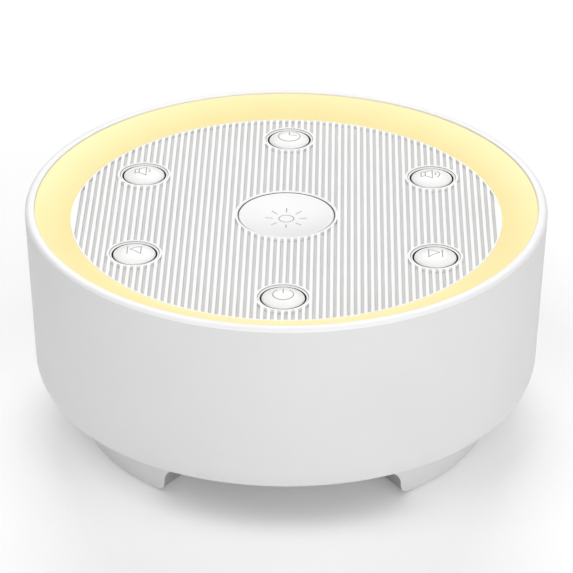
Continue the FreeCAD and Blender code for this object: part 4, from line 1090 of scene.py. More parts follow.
@dataclass
class RibbedPlate:
    """Top plate with straight ribs, smooth lips round the buttons and countersunk bores."""

    radius: float = 43.5
    top: float = PLATE_TOP
    thickness: float = 2.0
    field_radius: float = 43.18
    pitch: float = 1.327
    groove: float = 0.65
    depth: float = 0.55
    shoulder: float = 0.06
    root: float = 0.1
    button_circle: float = KEY_CIRCLE
    button_angles: tuple[float, ...] = (-90.0, 90.0, 30.0, 150.0, -150.0, -30.0)
    lip: float = 5.46
    bore: float = 4.54
    sink_radius: float = 5.0
    seam: float = 0.12
    seam_depth: float = 0.4
    bezel_drop: float = 0.12
    bezel_rounding: float = 0.1
    seam_rounding: float = 0.05
    edge_rounding: float = 0.12
    run_out: float = 1.1
    groove_slack: float = 0.05
    bore_slack: float = 0.06
    floor_facing: float = 0.4
    shade_depth: float = 0.45
    centre_lip: float = 10.4
    centre_bore: float = 9.84
    centre_rounding: float = 0.15
    flange: float = 5.55
    centre_flange: float = 11.03
    sleeve_wall: float = 1.0
    sleeve_depth: float = 2.4
    sleeve_lap: float = 0.2

    def groove_bar(self, middle: float) -> bmesh.types.BMesh:
        """Makes the cutter of one groove, with soft shoulders and a rounded floor.

        Args:
            middle: Place of the groove along X.

        Returns:
            The cutter, long along Y.
        """
        half = self.groove / 2.0
        wide = half + self.shoulder
        above = self.top + self.depth
        outline = Outline(middle - wide, above)
        outline.line(middle - wide, self.top)
        outline.arc(middle - wide, self.top - self.shoulder, -90.0, 3)
        outline.line(middle - half, self.top - self.depth, self.root)
        outline.line(middle + half, self.top - self.depth, self.root)
        outline.line(middle + half, self.top - self.shoulder)
        outline.arc(middle + wide, self.top - self.shoulder, -90.0, 3)
        outline.line(middle + wide, above)
        reach = self.run_out * self.radius
        return placed(outline.close().extruded(2.0 * reach, 3), at(y=-reach))

    def field(self) -> bmesh.types.BMesh:
        """Makes the ribbed field: a disc less the lips.

        Returns:
            The solid that trims the grooves.
        """
        bottom = self.top - 2.0 * self.depth
        height = 4.0 * self.depth
        disc = placed(round_bar(self.field_radius, height, LARGE_TURN), at(z=bottom))
        lips = [placed(round_bar(self.centre_lip, 2.0 * height, TURN), at(z=bottom - self.depth))]
        for angle in self.button_angles:
            x, y = polar(self.button_circle, angle)
            lips.append(placed(round_bar(self.lip, 2.0 * height, SMALL_TURN), at(x, y, bottom - self.depth)))
        return combined(disc, together(lips), Cut.AWAY)

    def well(self, bore: float, flange: float, seam: bool) -> bmesh.types.BMesh:
        """Makes the cutter of one button well.

        Args:
            bore: Radius of the hole.
            flange: Radius of the room under it.
            seam: Whether a thin seam parts a bezel from the lip.

        Returns:
            The cutter on the Z axis.
        """
        under = self.top - self.thickness
        bottom = under - 2.0 * self.sleeve_depth
        above = self.top + self.depth
        outline = Outline(0.0, bottom)
        outline.line(flange, bottom).line(flange, under).line(bore, under)
        if seam:
            rim = self.sink_radius - self.seam
            outline.line(bore, self.top - 2.0 * self.bezel_drop, self.bezel_rounding)
            outline.line(rim, self.top - self.bezel_drop, self.seam_rounding)
            outline.line(rim, self.top - self.seam_depth)
            outline.line(self.sink_radius, self.top - self.seam_depth)
            outline.line(self.sink_radius, self.top).line(self.sink_radius, above)
        else:
            outline.line(bore, self.top - self.centre_rounding).line(bore + self.centre_rounding, self.top)
            outline.line(bore + self.centre_rounding, above)
        return outline.line(0.0, above).spun(TURN)

    def spots(self, centre: float, small: float) -> list[tuple[float, float, float]]:
        """Lists the button places with a radius for the centre one and one for the small ones."""
        return [(0.0, 0.0, centre)] + [(*polar(self.button_circle, angle), small) for angle in self.button_angles]

    def in_groove(self, place: Vector, normal: Vector) -> bool:
        """Tells whether a face is the floor of a groove.

        Args:
            place: Middle of the face, in millimetres.
            normal: Its normal.

        Returns:
            Whether it is a groove's floor.
        """
        deep = self.top - 1.1 * self.depth < place.z < self.top - 0.6 * self.depth and normal.z > self.floor_facing
        clear = all(math.hypot(place.x - x, place.y - y) > reach - self.groove_slack
                    for x, y, reach in self.spots(self.centre_lip, self.lip))
        return deep and clear and math.hypot(place.x, place.y) < self.field_radius + self.groove_slack

    def in_bore(self, place: Vector, _: Vector) -> bool:
        """Tells whether a face's middle lies on the wall of a button hole, below its mouth, where black shade is
        painted.
        """
        deep = self.top - self.thickness - NEAR < place.z < self.top - self.shade_depth
        return deep and any(math.hypot(place.x - x, place.y - y) < reach + self.bore_slack
                            for x, y, reach in self.spots(self.centre_bore, self.bore))

    def in_seam(self, place: Vector) -> bool:
        """Tells whether a place lies in the thin seam round a small button's bezel."""
        middle = self.sink_radius - self.seam / 2.0
        low, high = self.top - 1.1 * self.seam_depth, self.top - 0.5 * self.bezel_drop
        return low < place.z < high and any(abs(math.hypot(place.x - x, place.y - y) - middle) < 0.75 * self.seam
                                            for x, y, _ in self.spots(0.0, 0.0)[1:])

    def in_shade(self, place: Vector, normal: Vector) -> bool:
        """Tells whether a face is a groove's floor or lies in a bezel's seam, where light grey shade is painted."""
        return self.in_groove(place, normal) or self.in_seam(place)

    def build(self, workshop: Workshop) -> None:
        """Makes the plate."""
        under = self.top - self.thickness
        outline = Outline(0.0, under).line(self.radius, under)
        plate = outline.line(self.radius, self.top, self.edge_rounding).line(0.0, self.top).spun(LARGE_TURN)
        length = self.sleeve_depth + self.sleeve_lap
        sleeves = [placed(round_bar(self.centre_flange + self.sleeve_wall, length, TURN),
                          at(z=under - self.sleeve_depth))]
        wells = [self.well(self.centre_bore, self.centre_flange, False)]
        for angle in self.button_angles:
            x, y = polar(self.button_circle, angle)
            sleeves.append(placed(round_bar(self.flange + self.sleeve_wall, length, SMALL_TURN),
                                  at(x, y, under - self.sleeve_depth)))
            wells.append(placed(self.well(self.bore, self.flange, True), at(x, y)))
        for sleeve in sleeves:
            plate = combined(plate, sleeve, Cut.JOIN)
        for well in wells:
            plate = combined(plate, well, Cut.AWAY)
        count = int(self.field_radius / self.pitch)
        middles = [(index + 0.5) * self.pitch for index in range(-count - 1, count + 1)]
        bars = [self.groove_bar(middle) for middle in middles if abs(middle) + self.groove < self.field_radius]
        grooves = combined(together(bars), self.field(), Cut.COMMON)
        plate = combined(plate, grooves, Cut.AWAY)
        # The plate takes the brighter copy of the white ABS: painted light on its top.
        thing = workshop.piece("ribbed_plate", plate, "housing", "plate_abs", ["top_plate"])
        # Bore walls below their mouths get painted black shade.
        # Groove floors and bezel seams get painted light grey shade.
        workshop.accent(thing, {"groove_painted_shade": self.in_shade, "gap_painted_shade": self.in_bore})


class Mark(Enum):
    """Generic control symbols printed on the caps."""

    POWER = "power"
    TIMER = "timer"
    LOUDER = "volume_up"
    QUIETER = "volume_down"
    PREVIOUS = "previous"
    NEXT = "next"
    LIGHT = "light"


@dataclass
class Pen:
    """Draws strokes of printed ink in the XY plane, in millimetres."""

    width: float = 0.2
    step: float = 0.15
    strokes: list[bmesh.types.BMesh] = field(default_factory=list)

    def bar(self, x0: float, y0: float, x1: float, y1: float) -> None:
        """Draws a straight stroke.

        Args:
            x0: X of the start.
            y0: Y of the start.
            x1: X of the end.
            y1: Y of the end.
        """
        run = Vector((x1 - x0, y1 - y0, 0.0))
        mesh = bmesh.new()
        bmesh.ops.create_grid(mesh, x_segments=max(4, int(run.length / self.step)), y_segments=2, size=0.5)
        bmesh.ops.scale(mesh, vec=(run.length + self.width, self.width, 1.0), verts=mesh.verts)
        angle = math.degrees(math.atan2(run.y, run.x))
        self.strokes.append(placed(mesh, at((x0 + x1) / 2.0, (y0 + y1) / 2.0, 0.0, angle)))

    def ring(self, x: float, y: float, radius: float, start: float, sweep: float) -> None:
        """Draws an arc or a full ring.

        Args:
            x: X of the centre.
            y: Y of the centre.
            radius: Radius of the stroke's middle.
            start: Angle in degrees where it starts.
            sweep: Degrees that it turns.
        """
        mesh = bmesh.new()
        ends = [mesh.verts.new((radius + side * self.width / 2.0, 0.0, 0.0)) for side in (-1.0, 0.0, 1.0)]
        edges = [mesh.edges.new(pair) for pair in zip(ends, ends[1:])]
        bmesh.ops.spin(mesh, geom=ends + edges, cent=(0.0, 0.0, 0.0), axis=(0.0, 0.0, 1.0),
                       angle=math.radians(sweep), steps=max(12, int(sweep / 6.0)), use_merge=sweep >= 360.0)
        self.strokes.append(placed(mesh, at(x, y, 0.0, start)))

    def path(self, points: Sequence[tuple[float, float]]) -> None:
        """Draws a closed path of straight strokes."""
        for (x0, y0), (x1, y1) in zip(points, list(points[1:]) + [points[0]]):
            self.bar(x0, y0, x1, y1)

    def draw(self, mark: Mark) -> bmesh.types.BMesh:
        """Draws a symbol.

        Args:
            mark: Which symbol.

        Returns:
            The flat strokes, centred on the origin.
        """
        if mark is Mark.POWER:
            self.ring(0.0, -0.15, 2.0, 125.0, 290.0)
            self.bar(0.0, 0.0, 0.0, 1.95)
        elif mark is Mark.TIMER:
            self.ring(0.0, 0.0, 2.27, 104.0, 332.0)
            self.bar(0.0, 0.0, 0.0, 2.2)
            self.bar(0.0, 0.0, 1.45, 0.0)
        elif mark in (Mark.LOUDER, Mark.QUIETER):
            shift = -0.1 if mark is Mark.LOUDER else 0.25
            left, neck, mouth = shift - 2.1, shift - 1.25, shift + 0.2
            self.path([(left, -0.85), (neck, -0.85), (mouth, -1.75), (mouth, 1.75), (neck, 0.85), (left, 0.85)])
            self.bar(neck, -0.85, neck, 0.85)
            self.ring(mouth - 0.2, 0.0, 0.95, -48.0, 96.0)
            if mark is Mark.LOUDER:
                self.ring(mouth - 0.2, 0.0, 1.75, -48.0, 96.0)
        elif mark in (Mark.PREVIOUS, Mark.NEXT):
            side = 1.0 if mark is Mark.NEXT else -1.0
            self.path([(-1.33 * side, -1.45), (0.85 * side, 0.0), (-1.33 * side, 1.45)])
            self.bar(1.37 * side, -1.45, 1.37 * side, 1.45)
        else:
            self.ring(0.0, 0.0, 1.5, 0.0, 360.0)
            for index in range(8):
                near, far = (polar(radius, 45.0 * index) for radius in (2.75, 4.15))
                self.bar(*near, *far)
        drawn = together(self.strokes)
        self.strokes = []
        return drawn


@dataclass
class Keys:
    """Six domed caps and the large dished cap, with their printed symbols."""

    plate_top: float = PLATE_TOP
    plate_underside: float = PLATE_UNDERSIDE
    circle: float = KEY_CIRCLE
    radius: float = 4.2
    edge_drop: float = 0.2
    dome: float = 1.07
    edge_rounding: float = 0.28
    shell: float = 1.2
    flange_extra: float = 1.15
    flange: float = 1.0
    fit: float = 0.05
    stem: float = 1.9
    stem_bottom: float = 40.0
    centre_radius: float = 9.68
    dish: float = 1.05
    centre_rounding: float = 0.35
    ink_rise: float = 0.012
    brim: float = 0.05
    flange_rounding: float = 0.15
    hollow_rounding: float = 0.4
    stem_rounding: float = 0.2
    shade_depth: float = 0.6
    wall_facing: float = 0.5
    places: tuple[tuple[Mark, float], ...] = (
        (Mark.POWER, -90.0),
        (Mark.TIMER, 90.0),
        (Mark.LOUDER, 30.0),
        (Mark.QUIETER, 150.0),
        (Mark.PREVIOUS, -150.0),
        (Mark.NEXT, -30.0),
    )

    @staticmethod
    def sphere(radius: float, rise: float) -> float:
        """Radius of the sphere whose cap has a rim radius and a rise."""
        return (radius * radius + rise * rise) / (2.0 * rise)

    def underside(self, outline: Outline, radius: float, ceiling: float) -> Outline:
        """Adds the side, flange, hollow and stem below a cap's face.

        Args:
            outline: Outline whose last point is the cap's upper edge.
            radius: Radius of the cap.
            ceiling: Height of the hollow.

        Returns:
            The outline, back at the axis.
        """
        top = self.plate_underside - self.fit
        bottom = top - self.flange
        outline.line(radius, top)
        outline.line(radius + self.flange_extra, top, self.flange_rounding)
        outline.line(radius + self.flange_extra, bottom, self.flange_rounding)
        outline.line(radius - self.shell, bottom)
        outline.line(radius - self.shell, ceiling, self.hollow_rounding)
        outline.line(self.stem, ceiling)
        outline.line(self.stem, self.stem_bottom, self.stem_rounding)
        return outline.line(0.0, self.stem_bottom)

    def small_cap(self) -> bmesh.types.BMesh:
        """Makes a domed cap on the Z axis.

        Returns:
            The cap's mesh.
        """
        edge = self.plate_top - self.edge_drop
        sphere = self.sphere(self.radius, self.dome)
        centre = edge + self.dome - sphere
        sweep = math.degrees(math.asin((self.radius - self.edge_rounding) / sphere))
        outline = Outline(0.0, edge + self.dome)
        outline.arc(0.0, centre, -sweep, 16)
        outline.line(self.radius, edge - self.brim, self.edge_rounding)
        return self.underside(outline, self.radius, edge - self.shell).spun(TURN, 5)

    def large_cap(self) -> bmesh.types.BMesh:
        """Makes the dished cap on the Z axis.

        Returns:
            The cap's mesh.
        """
        sphere = self.sphere(self.centre_radius, self.dish)
        centre = self.plate_top - self.dish + sphere
        sweep = math.degrees(math.asin((self.centre_radius - 2.0 * self.centre_rounding) / sphere))
        outline = Outline(0.0, self.plate_top - self.dish)
        outline.arc(0.0, centre, sweep, 24)
        outline.line(self.centre_radius, self.plate_top, self.centre_rounding)
        return self.underside(outline, self.centre_radius, self.plate_underside - 2.0 * self.fit).spun(160, 5)

    def print_on(self, mark: Mark, domed: bool) -> bmesh.types.BMesh:
        """Lays a symbol on a cap's face.

        Args:
            mark: Which symbol.
            domed: Whether the face is a dome, or else the dish.

        Returns:
            Thin strokes that follow the face.
        """
        ink = Pen().draw(mark)
        sphere = self.sphere(self.radius, self.dome) if domed else self.sphere(self.centre_radius, self.dish)
        for vert in ink.verts:
            drop = sphere - math.sqrt(sphere * sphere - vert.co.x ** 2 - vert.co.y ** 2)
            if domed:
                vert.co.z = self.plate_top - self.edge_drop + self.dome - drop + self.ink_rise
            else:
                vert.co.z = self.plate_top - self.dish + drop + self.ink_rise
        bmesh.ops.recalc_face_normals(ink, faces=ink.faces)
        for face in ink.faces:
            if face.normal.z < 0.0:
                face.normal_flip()
        return ink

    def in_gap(self, place: Vector, normal: Vector) -> bool:
        """Tells whether a cap's face lies deep in the gap round it, where black shade is painted."""
        return abs(normal.z) < self.wall_facing and place.z < self.plate_top - self.shade_depth

    def build(self, workshop: Workshop) -> None:
        """Makes the caps and their symbols."""
        for mark, angle in self.places:
            x, y = polar(self.circle, angle)
            body = mark.value + "_key"
            cap = workshop.piece(mark.value + "_cap", placed(self.small_cap(), at(x, y)), body, "white_button",
                                 [mark.value + "_button"])
            # The cap's side deep in its gap gets painted black shade.
            workshop.accent(cap, {"gap_painted_shade": self.in_gap})
            workshop.piece(mark.value + "_symbol", placed(self.print_on(mark, True), at(x, y)), body, "ink")
        # The dished cap takes a darker copy of the cap white: painted shade.
        cap = workshop.piece("light_cap", self.large_cap(), "light_key", "dish_face", ["light_button"])
        # The dished cap's side deep in its gap gets painted black shade.
        workshop.accent(cap, {"gap_painted_shade": self.in_gap})
        workshop.piece("light_symbol", self.print_on(Mark.LIGHT, False), "light_key", "ink")


@dataclass
class BaseCover:
    """Bottom cover with straight sound slots, posts and screw recesses."""

    radius: float = 47.904
    underside: float = FEET_TOP
    thickness: float = 2.0
    edge_rounding: float = 0.3
    slot_width: float = 1.6
    slot_pitch: float = 3.2
    slot_field: float = 19.5
    slot_rounding: float = 0.25
    screw_circle: float = COVER_SCREW_CIRCLE
    screw_angles: tuple[float, ...] = (30.0, 150.0, 270.0)
    head_room: float = SCREW_HEAD_ROOM
    head_depth: float = 1.3
    head_chamfer: float = 0.2
    shank_room: float = SCREW_SHANK_ROOM
    post_radius: float = 2.2
    post_lap: float = 0.05
    posts: tuple[tuple[float, float, float], ...] = (
        (28.4, 45.0, 1.9),
        (28.4, 135.0, 1.9),
        (28.4, 225.0, 1.9),
        (28.4, 315.0, 1.9),
        (FEET_SCREW_CIRCLE, 90.0, 3.2),
        (FEET_SCREW_CIRCLE, 210.0, 3.2),
        (FEET_SCREW_CIRCLE, 330.0, 3.2),
    )

    def slot_cutter(self, half: float, y: float) -> bmesh.types.BMesh:
        """Makes the cutter of one slot with a flared mouth.

        Args:
            half: Half the distance between the centres of the slot's ends.
            y: Place of the slot along Y.

        Returns:
            The cutter.
        """
        mesh = slot_bar(2.0 * half, self.slot_width, self.thickness * 2.0)
        mouth = slot_bar(2.0 * half, self.slot_width + 2.0 * self.slot_rounding, self.slot_rounding)
        for vert in mouth.verts:
            if vert.co.z > self.slot_rounding / 2.0:
                share = self.slot_width / (self.slot_width + 2.0 * self.slot_rounding)
                end = max(-half, min(half, vert.co.x))
                vert.co.x = end + (vert.co.x - end) * share
                vert.co.y *= share
        placed(mesh, at(0.0, y, self.underside - self.thickness / 2.0))
        placed(mouth, at(0.0, y, self.underside - WELD))
        return combined(mesh, mouth, Cut.JOIN)

    def build(self, workshop: Workshop) -> None:
        """Makes the cover."""
        top = self.underside + self.thickness
        outline = Outline(0.0, self.underside)
        outline.line(self.radius, self.underside, self.edge_rounding)
        outline.line(self.radius, top, self.edge_rounding)
        cover = outline.line(0.0, top).spun(256)
        cutters = []
        count = int(self.slot_field / self.slot_pitch)
        for index in range(-count, count + 1):
            y = index * self.slot_pitch
            half = math.sqrt(self.slot_field ** 2 - y * y) - self.slot_width
            cutters.append(self.slot_cutter(half, y))
        for angle in self.screw_angles:
            x, y = polar(self.screw_circle, angle)
            mouth, seat = self.head_room + self.head_chamfer, self.underside + self.head_depth
            recess = Outline(0.0, self.underside - PAST)
            recess.line(mouth, self.underside - PAST).line(mouth, self.underside)
            recess.line(self.head_room, self.underside + self.head_chamfer).line(self.head_room, seat)
            recess.line(self.shank_room, seat).line(self.shank_room, top + PAST).line(0.0, top + PAST)
            cutters.append(placed(recess.spun(SMALL_TURN), at(x, y)))
        cover = combined(cover, together(cutters), Cut.AWAY)
        lap = self.post_lap
        posts = [placed(round_bar(self.post_radius, height + lap), at(*polar(circle, angle), top - lap))
                 for circle, angle, height in self.posts]
        workshop.piece("slotted_base_cover", together([cover] + posts), "housing", "white_abs", ["base_cover"])


@dataclass
class ArchFeet:
    """Flared skirt with three arch feet, its rubber pads and its sunk screw holes."""

    outer: float = 41.74
    flare: float = 0.25
    inner: float = 33.0
    top: float = FEET_TOP
    pad_proud: float = 0.3
    half_angle: float = 25.5
    between: float = 60.0
    angles: tuple[float, ...] = (90.0, 210.0, 330.0)
    slant: float = 14.0
    toe: float = 2.8
    fillet: float = 5.5
    arch: float = 8.0
    screw_circle: float = FEET_SCREW_CIRCLE
    screw_seat: float = 8.0
    head_room: float = SCREW_HEAD_ROOM
    shank_room: float = SCREW_SHANK_ROOM
    cover_screw_circle: float = COVER_SCREW_CIRCLE
    cover_head_room: float = 2.3
    edge_rounding: float = 0.35
    pad_inset: float = 1.6
    pad_half_angle: float = 19.0
    pad_top: float = 1.2
    pad_margin: float = 0.1
    pad_rounding: float = 0.35
    pocket_drop: float = 0.5
    end_margin: float = 2.0
    end_facing: float = 0.4
    near_share: float = 0.5
    far_share: float = 1.4

    def arch_cutter(self) -> bmesh.types.BMesh:
        """Makes the opening between two feet, centred on +X, whose ends stay radial.

        Returns:
            The cutter.
        """
        slant = math.radians(self.slant)
        half_gap = math.radians(self.between - self.half_angle)
        fillet_start = self.arch - self.fillet * (1.0 - math.sin(slant))
        fillet_offset = (fillet_start - self.pad_proud) * math.tan(slant)
        centre_offset = fillet_offset + self.fillet * math.cos(slant)
        toe_height = self.pad_proud + self.toe * (1.0 - math.sin(slant))
        toe_offset = (toe_height - self.pad_proud) * math.tan(slant)
        toe_centre = toe_offset - self.toe * math.cos(slant)
        low = self.pad_proud - PAST

        def across(offset: float) -> float:
            """Place along the outline's plane at an offset along the arc."""
            return self.outer * math.tan(half_gap - offset / self.outer)

        outline = Outline(across(toe_centre), low)
        outline.line(across(toe_centre), self.pad_proud)
        toe_steps, fillet_steps = 6, 12
        for step in range(1, toe_steps + 1):
            turn = math.pi / 2.0 - (math.pi / 2.0 - slant) * step / toe_steps
            outline.line(across(toe_centre + self.toe * math.cos(turn)),
                         self.pad_proud + self.toe * (1.0 - math.sin(turn)))
        for step in range(fillet_steps + 1):
            turn = slant + (math.pi / 2.0 - slant) * step / fillet_steps
            outline.line(across(centre_offset - self.fillet * math.cos(turn)),
                         self.arch - self.fillet * (1.0 - math.sin(turn)))
        outline.line(0.0, self.arch).line(0.0, low)
        mesh = outline.close().mesh
        bmesh.ops.edgeloop_fill(mesh, edges=mesh.edges[:])
        bmesh.ops.mirror(mesh, geom=mesh.verts[:] + mesh.edges[:] + mesh.faces[:], axis="X", merge_dist=WELD)
        bmesh.ops.remove_doubles(mesh, verts=mesh.verts, dist=WELD)
        made = bmesh.ops.extrude_face_region(mesh, geom=mesh.faces[:])
        far = points(made["geom"])
        moved = set(far)
        near = [vert for vert in mesh.verts if vert not in moved]
        for verts, share in ((near, self.near_share), (far, self.far_share)):
            bmesh.ops.scale(mesh, vec=(share, 1.0, 1.0), verts=verts)
            bmesh.ops.translate(mesh, vec=(0.0, self.outer * share, 0.0), verts=verts)
        return placed(sealed(mesh), at(degrees=-90.0))

    def sector(self, margin: float, bottom: float) -> bmesh.types.BMesh:
        """Makes a ring sector on the +X axis for a pad or its pocket.

        Args:
            margin: Room round the pad.
            bottom: Height of its underside.

        Returns:
            The sector's mesh.
        """
        near = self.inner + self.pad_inset - margin
        far = self.outer - self.pad_inset + margin
        half = math.radians(self.pad_half_angle) + margin / far
        mesh = bmesh.new()
        corners = [mesh.verts.new((radius, 0.0, height)) for radius, height in
                   ((near, bottom), (far, bottom), (far, self.pad_top), (near, self.pad_top))]
        face = mesh.faces.new(corners)
        bmesh.ops.rotate(mesh, cent=(0.0, 0.0, 0.0), matrix=Matrix.Rotation(-half, 3, "Z"), verts=corners)
        bmesh.ops.spin(mesh, geom=[face], cent=(0.0, 0.0, 0.0), axis=(0.0, 0.0, 1.0), angle=2.0 * half, steps=40)
        return sealed(mesh)

    def on_end(self, place: Vector, normal: Vector) -> bool:
        """Tells whether a face is on the radial end of a foot, inside its rounded outer edge, where grey shade is
        painted.

        Args:
            place: Middle of the face, in millimetres.
            normal: Its normal.

        Returns:
            Whether it belongs to an end.
        """
        radial = Vector((place.x, place.y, 0.0)).normalized()
        between = self.inner + self.edge_rounding < math.hypot(place.x, place.y) < self.outer - self.edge_rounding
        bearing = math.degrees(math.atan2(place.y, place.x))
        past = min(abs((bearing - angle + 180.0) % 360.0 - 180.0) for angle in self.angles)
        return between and past > self.pad_half_angle + self.end_margin and abs(normal.dot(radial)) < self.end_facing

    def build(self, workshop: Workshop) -> None:
        """Makes the feet and their pads."""
        outline = Outline(self.inner, self.pad_proud, self.edge_rounding)
        outline.line(self.outer + self.flare * self.pad_proud, self.pad_proud, self.edge_rounding)
        outline.line(self.outer + self.flare * self.top, self.top)
        outline.line(self.inner, self.top)
        feet = outline.close().spun(288)
        for angle in self.angles:
            feet = combined(feet, placed(self.arch_cutter(), at(degrees=angle + self.between)), Cut.AWAY)
        soften_edges(feet, self.edge_rounding, lambda edge: all(vert.co.z < self.top - 1.0 for vert in edge.verts))
        cutters = []
        for angle in self.angles:
            x, y = polar(self.screw_circle, angle)
            well = Outline(0.0, -PAST).line(self.head_room, -PAST).line(self.head_room, self.screw_seat)
            well.line(self.shank_room, self.screw_seat).line(self.shank_room, self.top + PAST)
            cutters.append(placed(well.line(0.0, self.top + PAST).spun(48), at(x, y)))
            x, y = polar(self.cover_screw_circle, angle - self.between)
            cutters.append(placed(round_bar(self.cover_head_room, self.top + 2.0 * PAST), at(x, y, -PAST)))
        for cutter in cutters:
            feet = combined(feet, cutter, Cut.AWAY)
        for angle in self.angles:
            pocket = self.sector(self.pad_margin, self.pad_proud - self.pocket_drop)
            feet = combined(feet, placed(pocket, at(degrees=angle)), Cut.AWAY)
        thing = workshop.piece("arch_feet", feet, "housing", "white_abs", ["leg_ring"])
        # The radial ends of the feet get painted grey shade.
        workshop.accent(thing, {"foot_end": self.on_end})
        pads = []
        for angle in self.angles:
            pad = self.sector(0.0, 0.0)
            soften_edges(pad, self.pad_rounding, lambda edge: any(vert.co.z < WELD for vert in edge.verts))
            pads.append(placed(pad, at(degrees=angle)))
        workshop.piece("rubber_foot_pads", together(pads), "housing", "grey_rubber", ["foot_pads"])


@dataclass
class PowerSocket:
    """Small reversible power socket in the back: a plated shell round a tongue with its contacts."""

    outline: SocketOutline = SocketOutline()
    depth: float = 7.3
    mouth: float = 50.623
    wall: float = 0.3
    back_wall: float = 1.2
    tongue_width: float = 6.6
    mouth_rounding: float = 0.08
    tongue: float = 0.7
    tongue_inset: float = 0.6
    tongue_sink: float = 0.1
    tongue_rounding: float = 0.12
    contact_count: int = 12
    contact_width: float = 0.26
    contact_length: float = 3.6
    contact_height: float = 0.04
    contact_inset: float = 0.5

    def build(self, workshop: Workshop) -> None:
        """Makes the shell, its tongue and its contacts."""
        back = self.mouth - self.depth
        shell = combined(self.outline.bar(0.0, back, self.mouth),
                         self.outline.bar(-self.wall, back + self.back_wall, self.mouth + PAST), Cut.AWAY)
        soften_edges(shell, self.mouth_rounding,
                     lambda edge: all(vert.co.y > self.mouth - NEAR for vert in edge.verts))
        workshop.piece("power_socket_shell", shell, "housing", "nickel", ["usb_socket"])
        front = self.mouth - self.tongue_inset
        length = front - back - self.back_wall
        middle = back + self.back_wall + length / 2.0 - self.tongue_sink
        tongue = placed(bar(self.tongue_width, length, self.tongue, self.tongue_rounding),
                        at(0.0, middle, self.outline.height - self.tongue / 2.0))
        workshop.piece("power_socket_tongue", tongue, "housing", "black_plastic")
        contacts = []
        pitch = self.tongue_width / (self.contact_count + 1)
        for side in (-1.0, 1.0):
            for index in range(self.contact_count):
                x = (index - (self.contact_count - 1) / 2.0) * pitch
                y = front - self.contact_inset - self.contact_length / 2.0
                z = self.outline.height + side * self.tongue / 2.0 - self.contact_height / 2.0
                contacts.append(placed(bar(self.contact_width, self.contact_length, self.contact_height),
                                       at(x, y, z)))
        workshop.piece("power_socket_contacts", together(contacts), "housing", "gold")


@dataclass
class Insides:
    """CAD nodes that stay as they are and get their materials."""

    def build(self, workshop: Workshop) -> None:
        """Dresses every shown CAD node by its record slot."""
        for name, node in sorted(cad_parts.items()):
            if node.hide_render:
                continue
            for index, held in enumerate(node.data.materials):
                slot = held.name.split(".")[0]
                node.data.materials[index] = workshop.materials[slot]
            LOG.info("CAD node %s is dressed", name)


# The stage


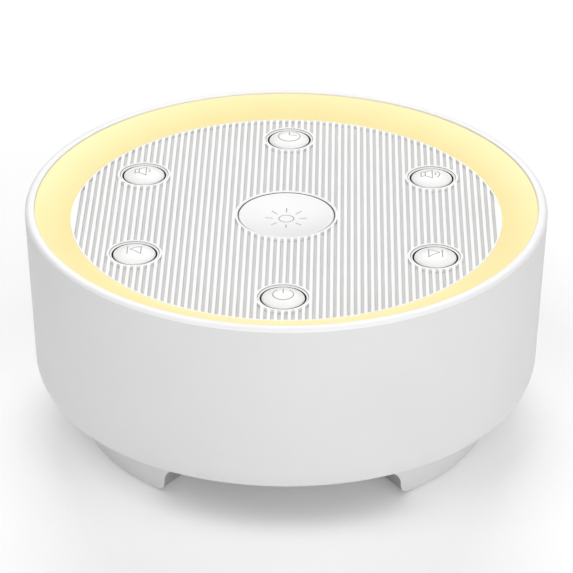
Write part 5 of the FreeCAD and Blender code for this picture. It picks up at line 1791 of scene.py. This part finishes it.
@dataclass
class Studio:
    """Pale floor, soft lights and the camera at the photograph's angle."""

    frame_px: float = 573.0
    focal_px: float = 3221.3
    sensor_mm: float = 36.0
    elevation: float = 28.963
    azimuth: float = 0.948
    roll: float = 0.167
    distance_mm: float = 649.59
    target_height_mm: float = 45.15
    shift_right_mm: float = -0.0751
    shift_up_mm: float = 14.898
    softboxes: tuple[tuple[str, tuple[float, float, float], float, float], ...] = (
        ("top_left_softbox", (-0.5, -0.4, 1.0), 0.8, 4.82),
        ("top_right_softbox", (0.5, -0.4, 1.0), 0.8, 3.5),
        ("back_softbox", (0.0, 0.9, 0.9), 0.8, 8.95),
        ("front_fill", (0.0, -1.2, 0.5), 0.8, 2.89),
        ("front_right_fill", (0.75, -0.9, 0.45), 0.7, 3.16),
    )
    clip: tuple[float, float] = (0.01, 20.0)
    aim: tuple[float, float, float] = (0.0, 0.0, 0.02)
    room_glow: float = 0.045
    floor_glow: float = 0.123
    floor_reach: float = 4.0
    floor_drop_mm: float = 0.02
    fleck_mm: float = 60.0

    def camera(self) -> None:
        """Puts the camera where the photograph was taken from."""
        turn, tilt = math.radians(self.azimuth), math.radians(self.elevation)
        forward = Vector((-math.sin(turn) * math.cos(tilt), math.cos(turn) * math.cos(tilt), -math.sin(tilt)))
        right = Vector((math.cos(turn), math.sin(turn), 0.0))
        up = Vector((-math.sin(turn) * math.sin(tilt), math.cos(turn) * math.sin(tilt), math.cos(tilt)))
        place = (Vector((0.0, 0.0, self.target_height_mm)) - right * self.shift_right_mm
                 - up * self.shift_up_mm - forward * self.distance_mm)
        lean = math.radians(self.roll)
        right, up = right * math.cos(lean) + up * math.sin(lean), up * math.cos(lean) - right * math.sin(lean)
        data = bpy.data.cameras.new("camera")
        data.sensor_width = self.sensor_mm
        data.sensor_fit = "HORIZONTAL"
        data.lens = self.focal_px / self.frame_px * self.sensor_mm
        data.clip_start, data.clip_end = self.clip
        thing = linked("camera", data)
        basis = Matrix((right, up, -forward)).transposed().to_4x4()
        thing.matrix_world = Matrix.Translation(place * MM) @ basis
        bpy.context.scene.camera = thing

    def softbox(self, name: str, place: tuple[float, float, float], size: float, power: float) -> None:
        """Adds a square soft light that faces the machine.

        Args:
            name: Its name.
            place: Where it hangs, in metres.
            size: Side in metres.
            power: Strength in watts.
        """
        data = bpy.data.lights.new(name, "AREA")
        data.shape = "SQUARE"
        data.size = size
        data.energy = power
        thing = linked(name, data)
        turn = (Vector(self.aim) - Vector(place)).to_track_quat("-Z", "Y")
        thing.matrix_world = Matrix.Translation(place) @ turn.to_matrix().to_4x4()

    def floor(self) -> None:
        """Lays the pale floor just under the feet."""
        mesh = bmesh.new()
        bmesh.ops.create_grid(mesh, x_segments=8, y_segments=8, size=self.floor_reach)
        data = baked("studio_floor", mesh)
        thing = linked("studio_floor", data)
        thing.location.z = -self.floor_drop_mm * MM
        # White light-table sheet: dead matt and faintly lit from below, which softens the shadow.
        material, tree, place = new_material("matt_white_light_table")
        fleck = add_node(tree, "ShaderNodeTexNoise", links={"Vector": place},
                         values={"Scale": per_metre(self.fleck_mm)})
        colour = add_node(tree, "ShaderNodeValToRGB", links={0: fleck.outputs["Fac"]},
                          stops=((0.3, "#f8f8f8"), (0.7, "#fafafa")))
        shader = add_node(tree, "ShaderNodeBsdfPrincipled", links={"Base Color": colour.outputs["Color"]},
                          values={"Roughness": 0.9, "Specular IOR Level": 0.1,
                                  "Emission Color": (1.0, 1.0, 1.0, 1.0), "Emission Strength": self.floor_glow})
        finish_material(tree, shader)
        data.materials.append(material)

    def build(self) -> None:
        """Sets the floor, the room's light, the soft lights and the camera."""
        scene = bpy.context.scene
        scene.view_settings.view_transform = "Standard"
        self.floor()
        world = bpy.data.worlds.new("soft_room")
        world.use_nodes = True
        background = world.node_tree.nodes["Background"]
        background.inputs["Color"].default_value = (1.0, 1.0, 1.0, 1.0)
        background.inputs["Strength"].default_value = self.room_glow
        scene.world = world
        for name, place, size, power in self.softboxes:
            self.softbox(name, place, size, power)
        self.camera()


def main() -> None:
    """Builds the machine part by part and sets the stage."""
    logging.basicConfig(level=logging.INFO, format="%(message)s")
    bpy.context.view_layer.update()
    workshop = Workshop(Finishes().build())
    for assembly in (
        TubWall(), LightBand(), RibbedPlate(), Keys(), BaseCover(), ArchFeet(), PowerSocket(), Insides(),
    ):
        assembly.build(workshop)
        LOG.info("%s is done", type(assembly).__name__)
    Studio().build()
    bpy.context.view_layer.update()


if __name__ == "__main__":
    main()
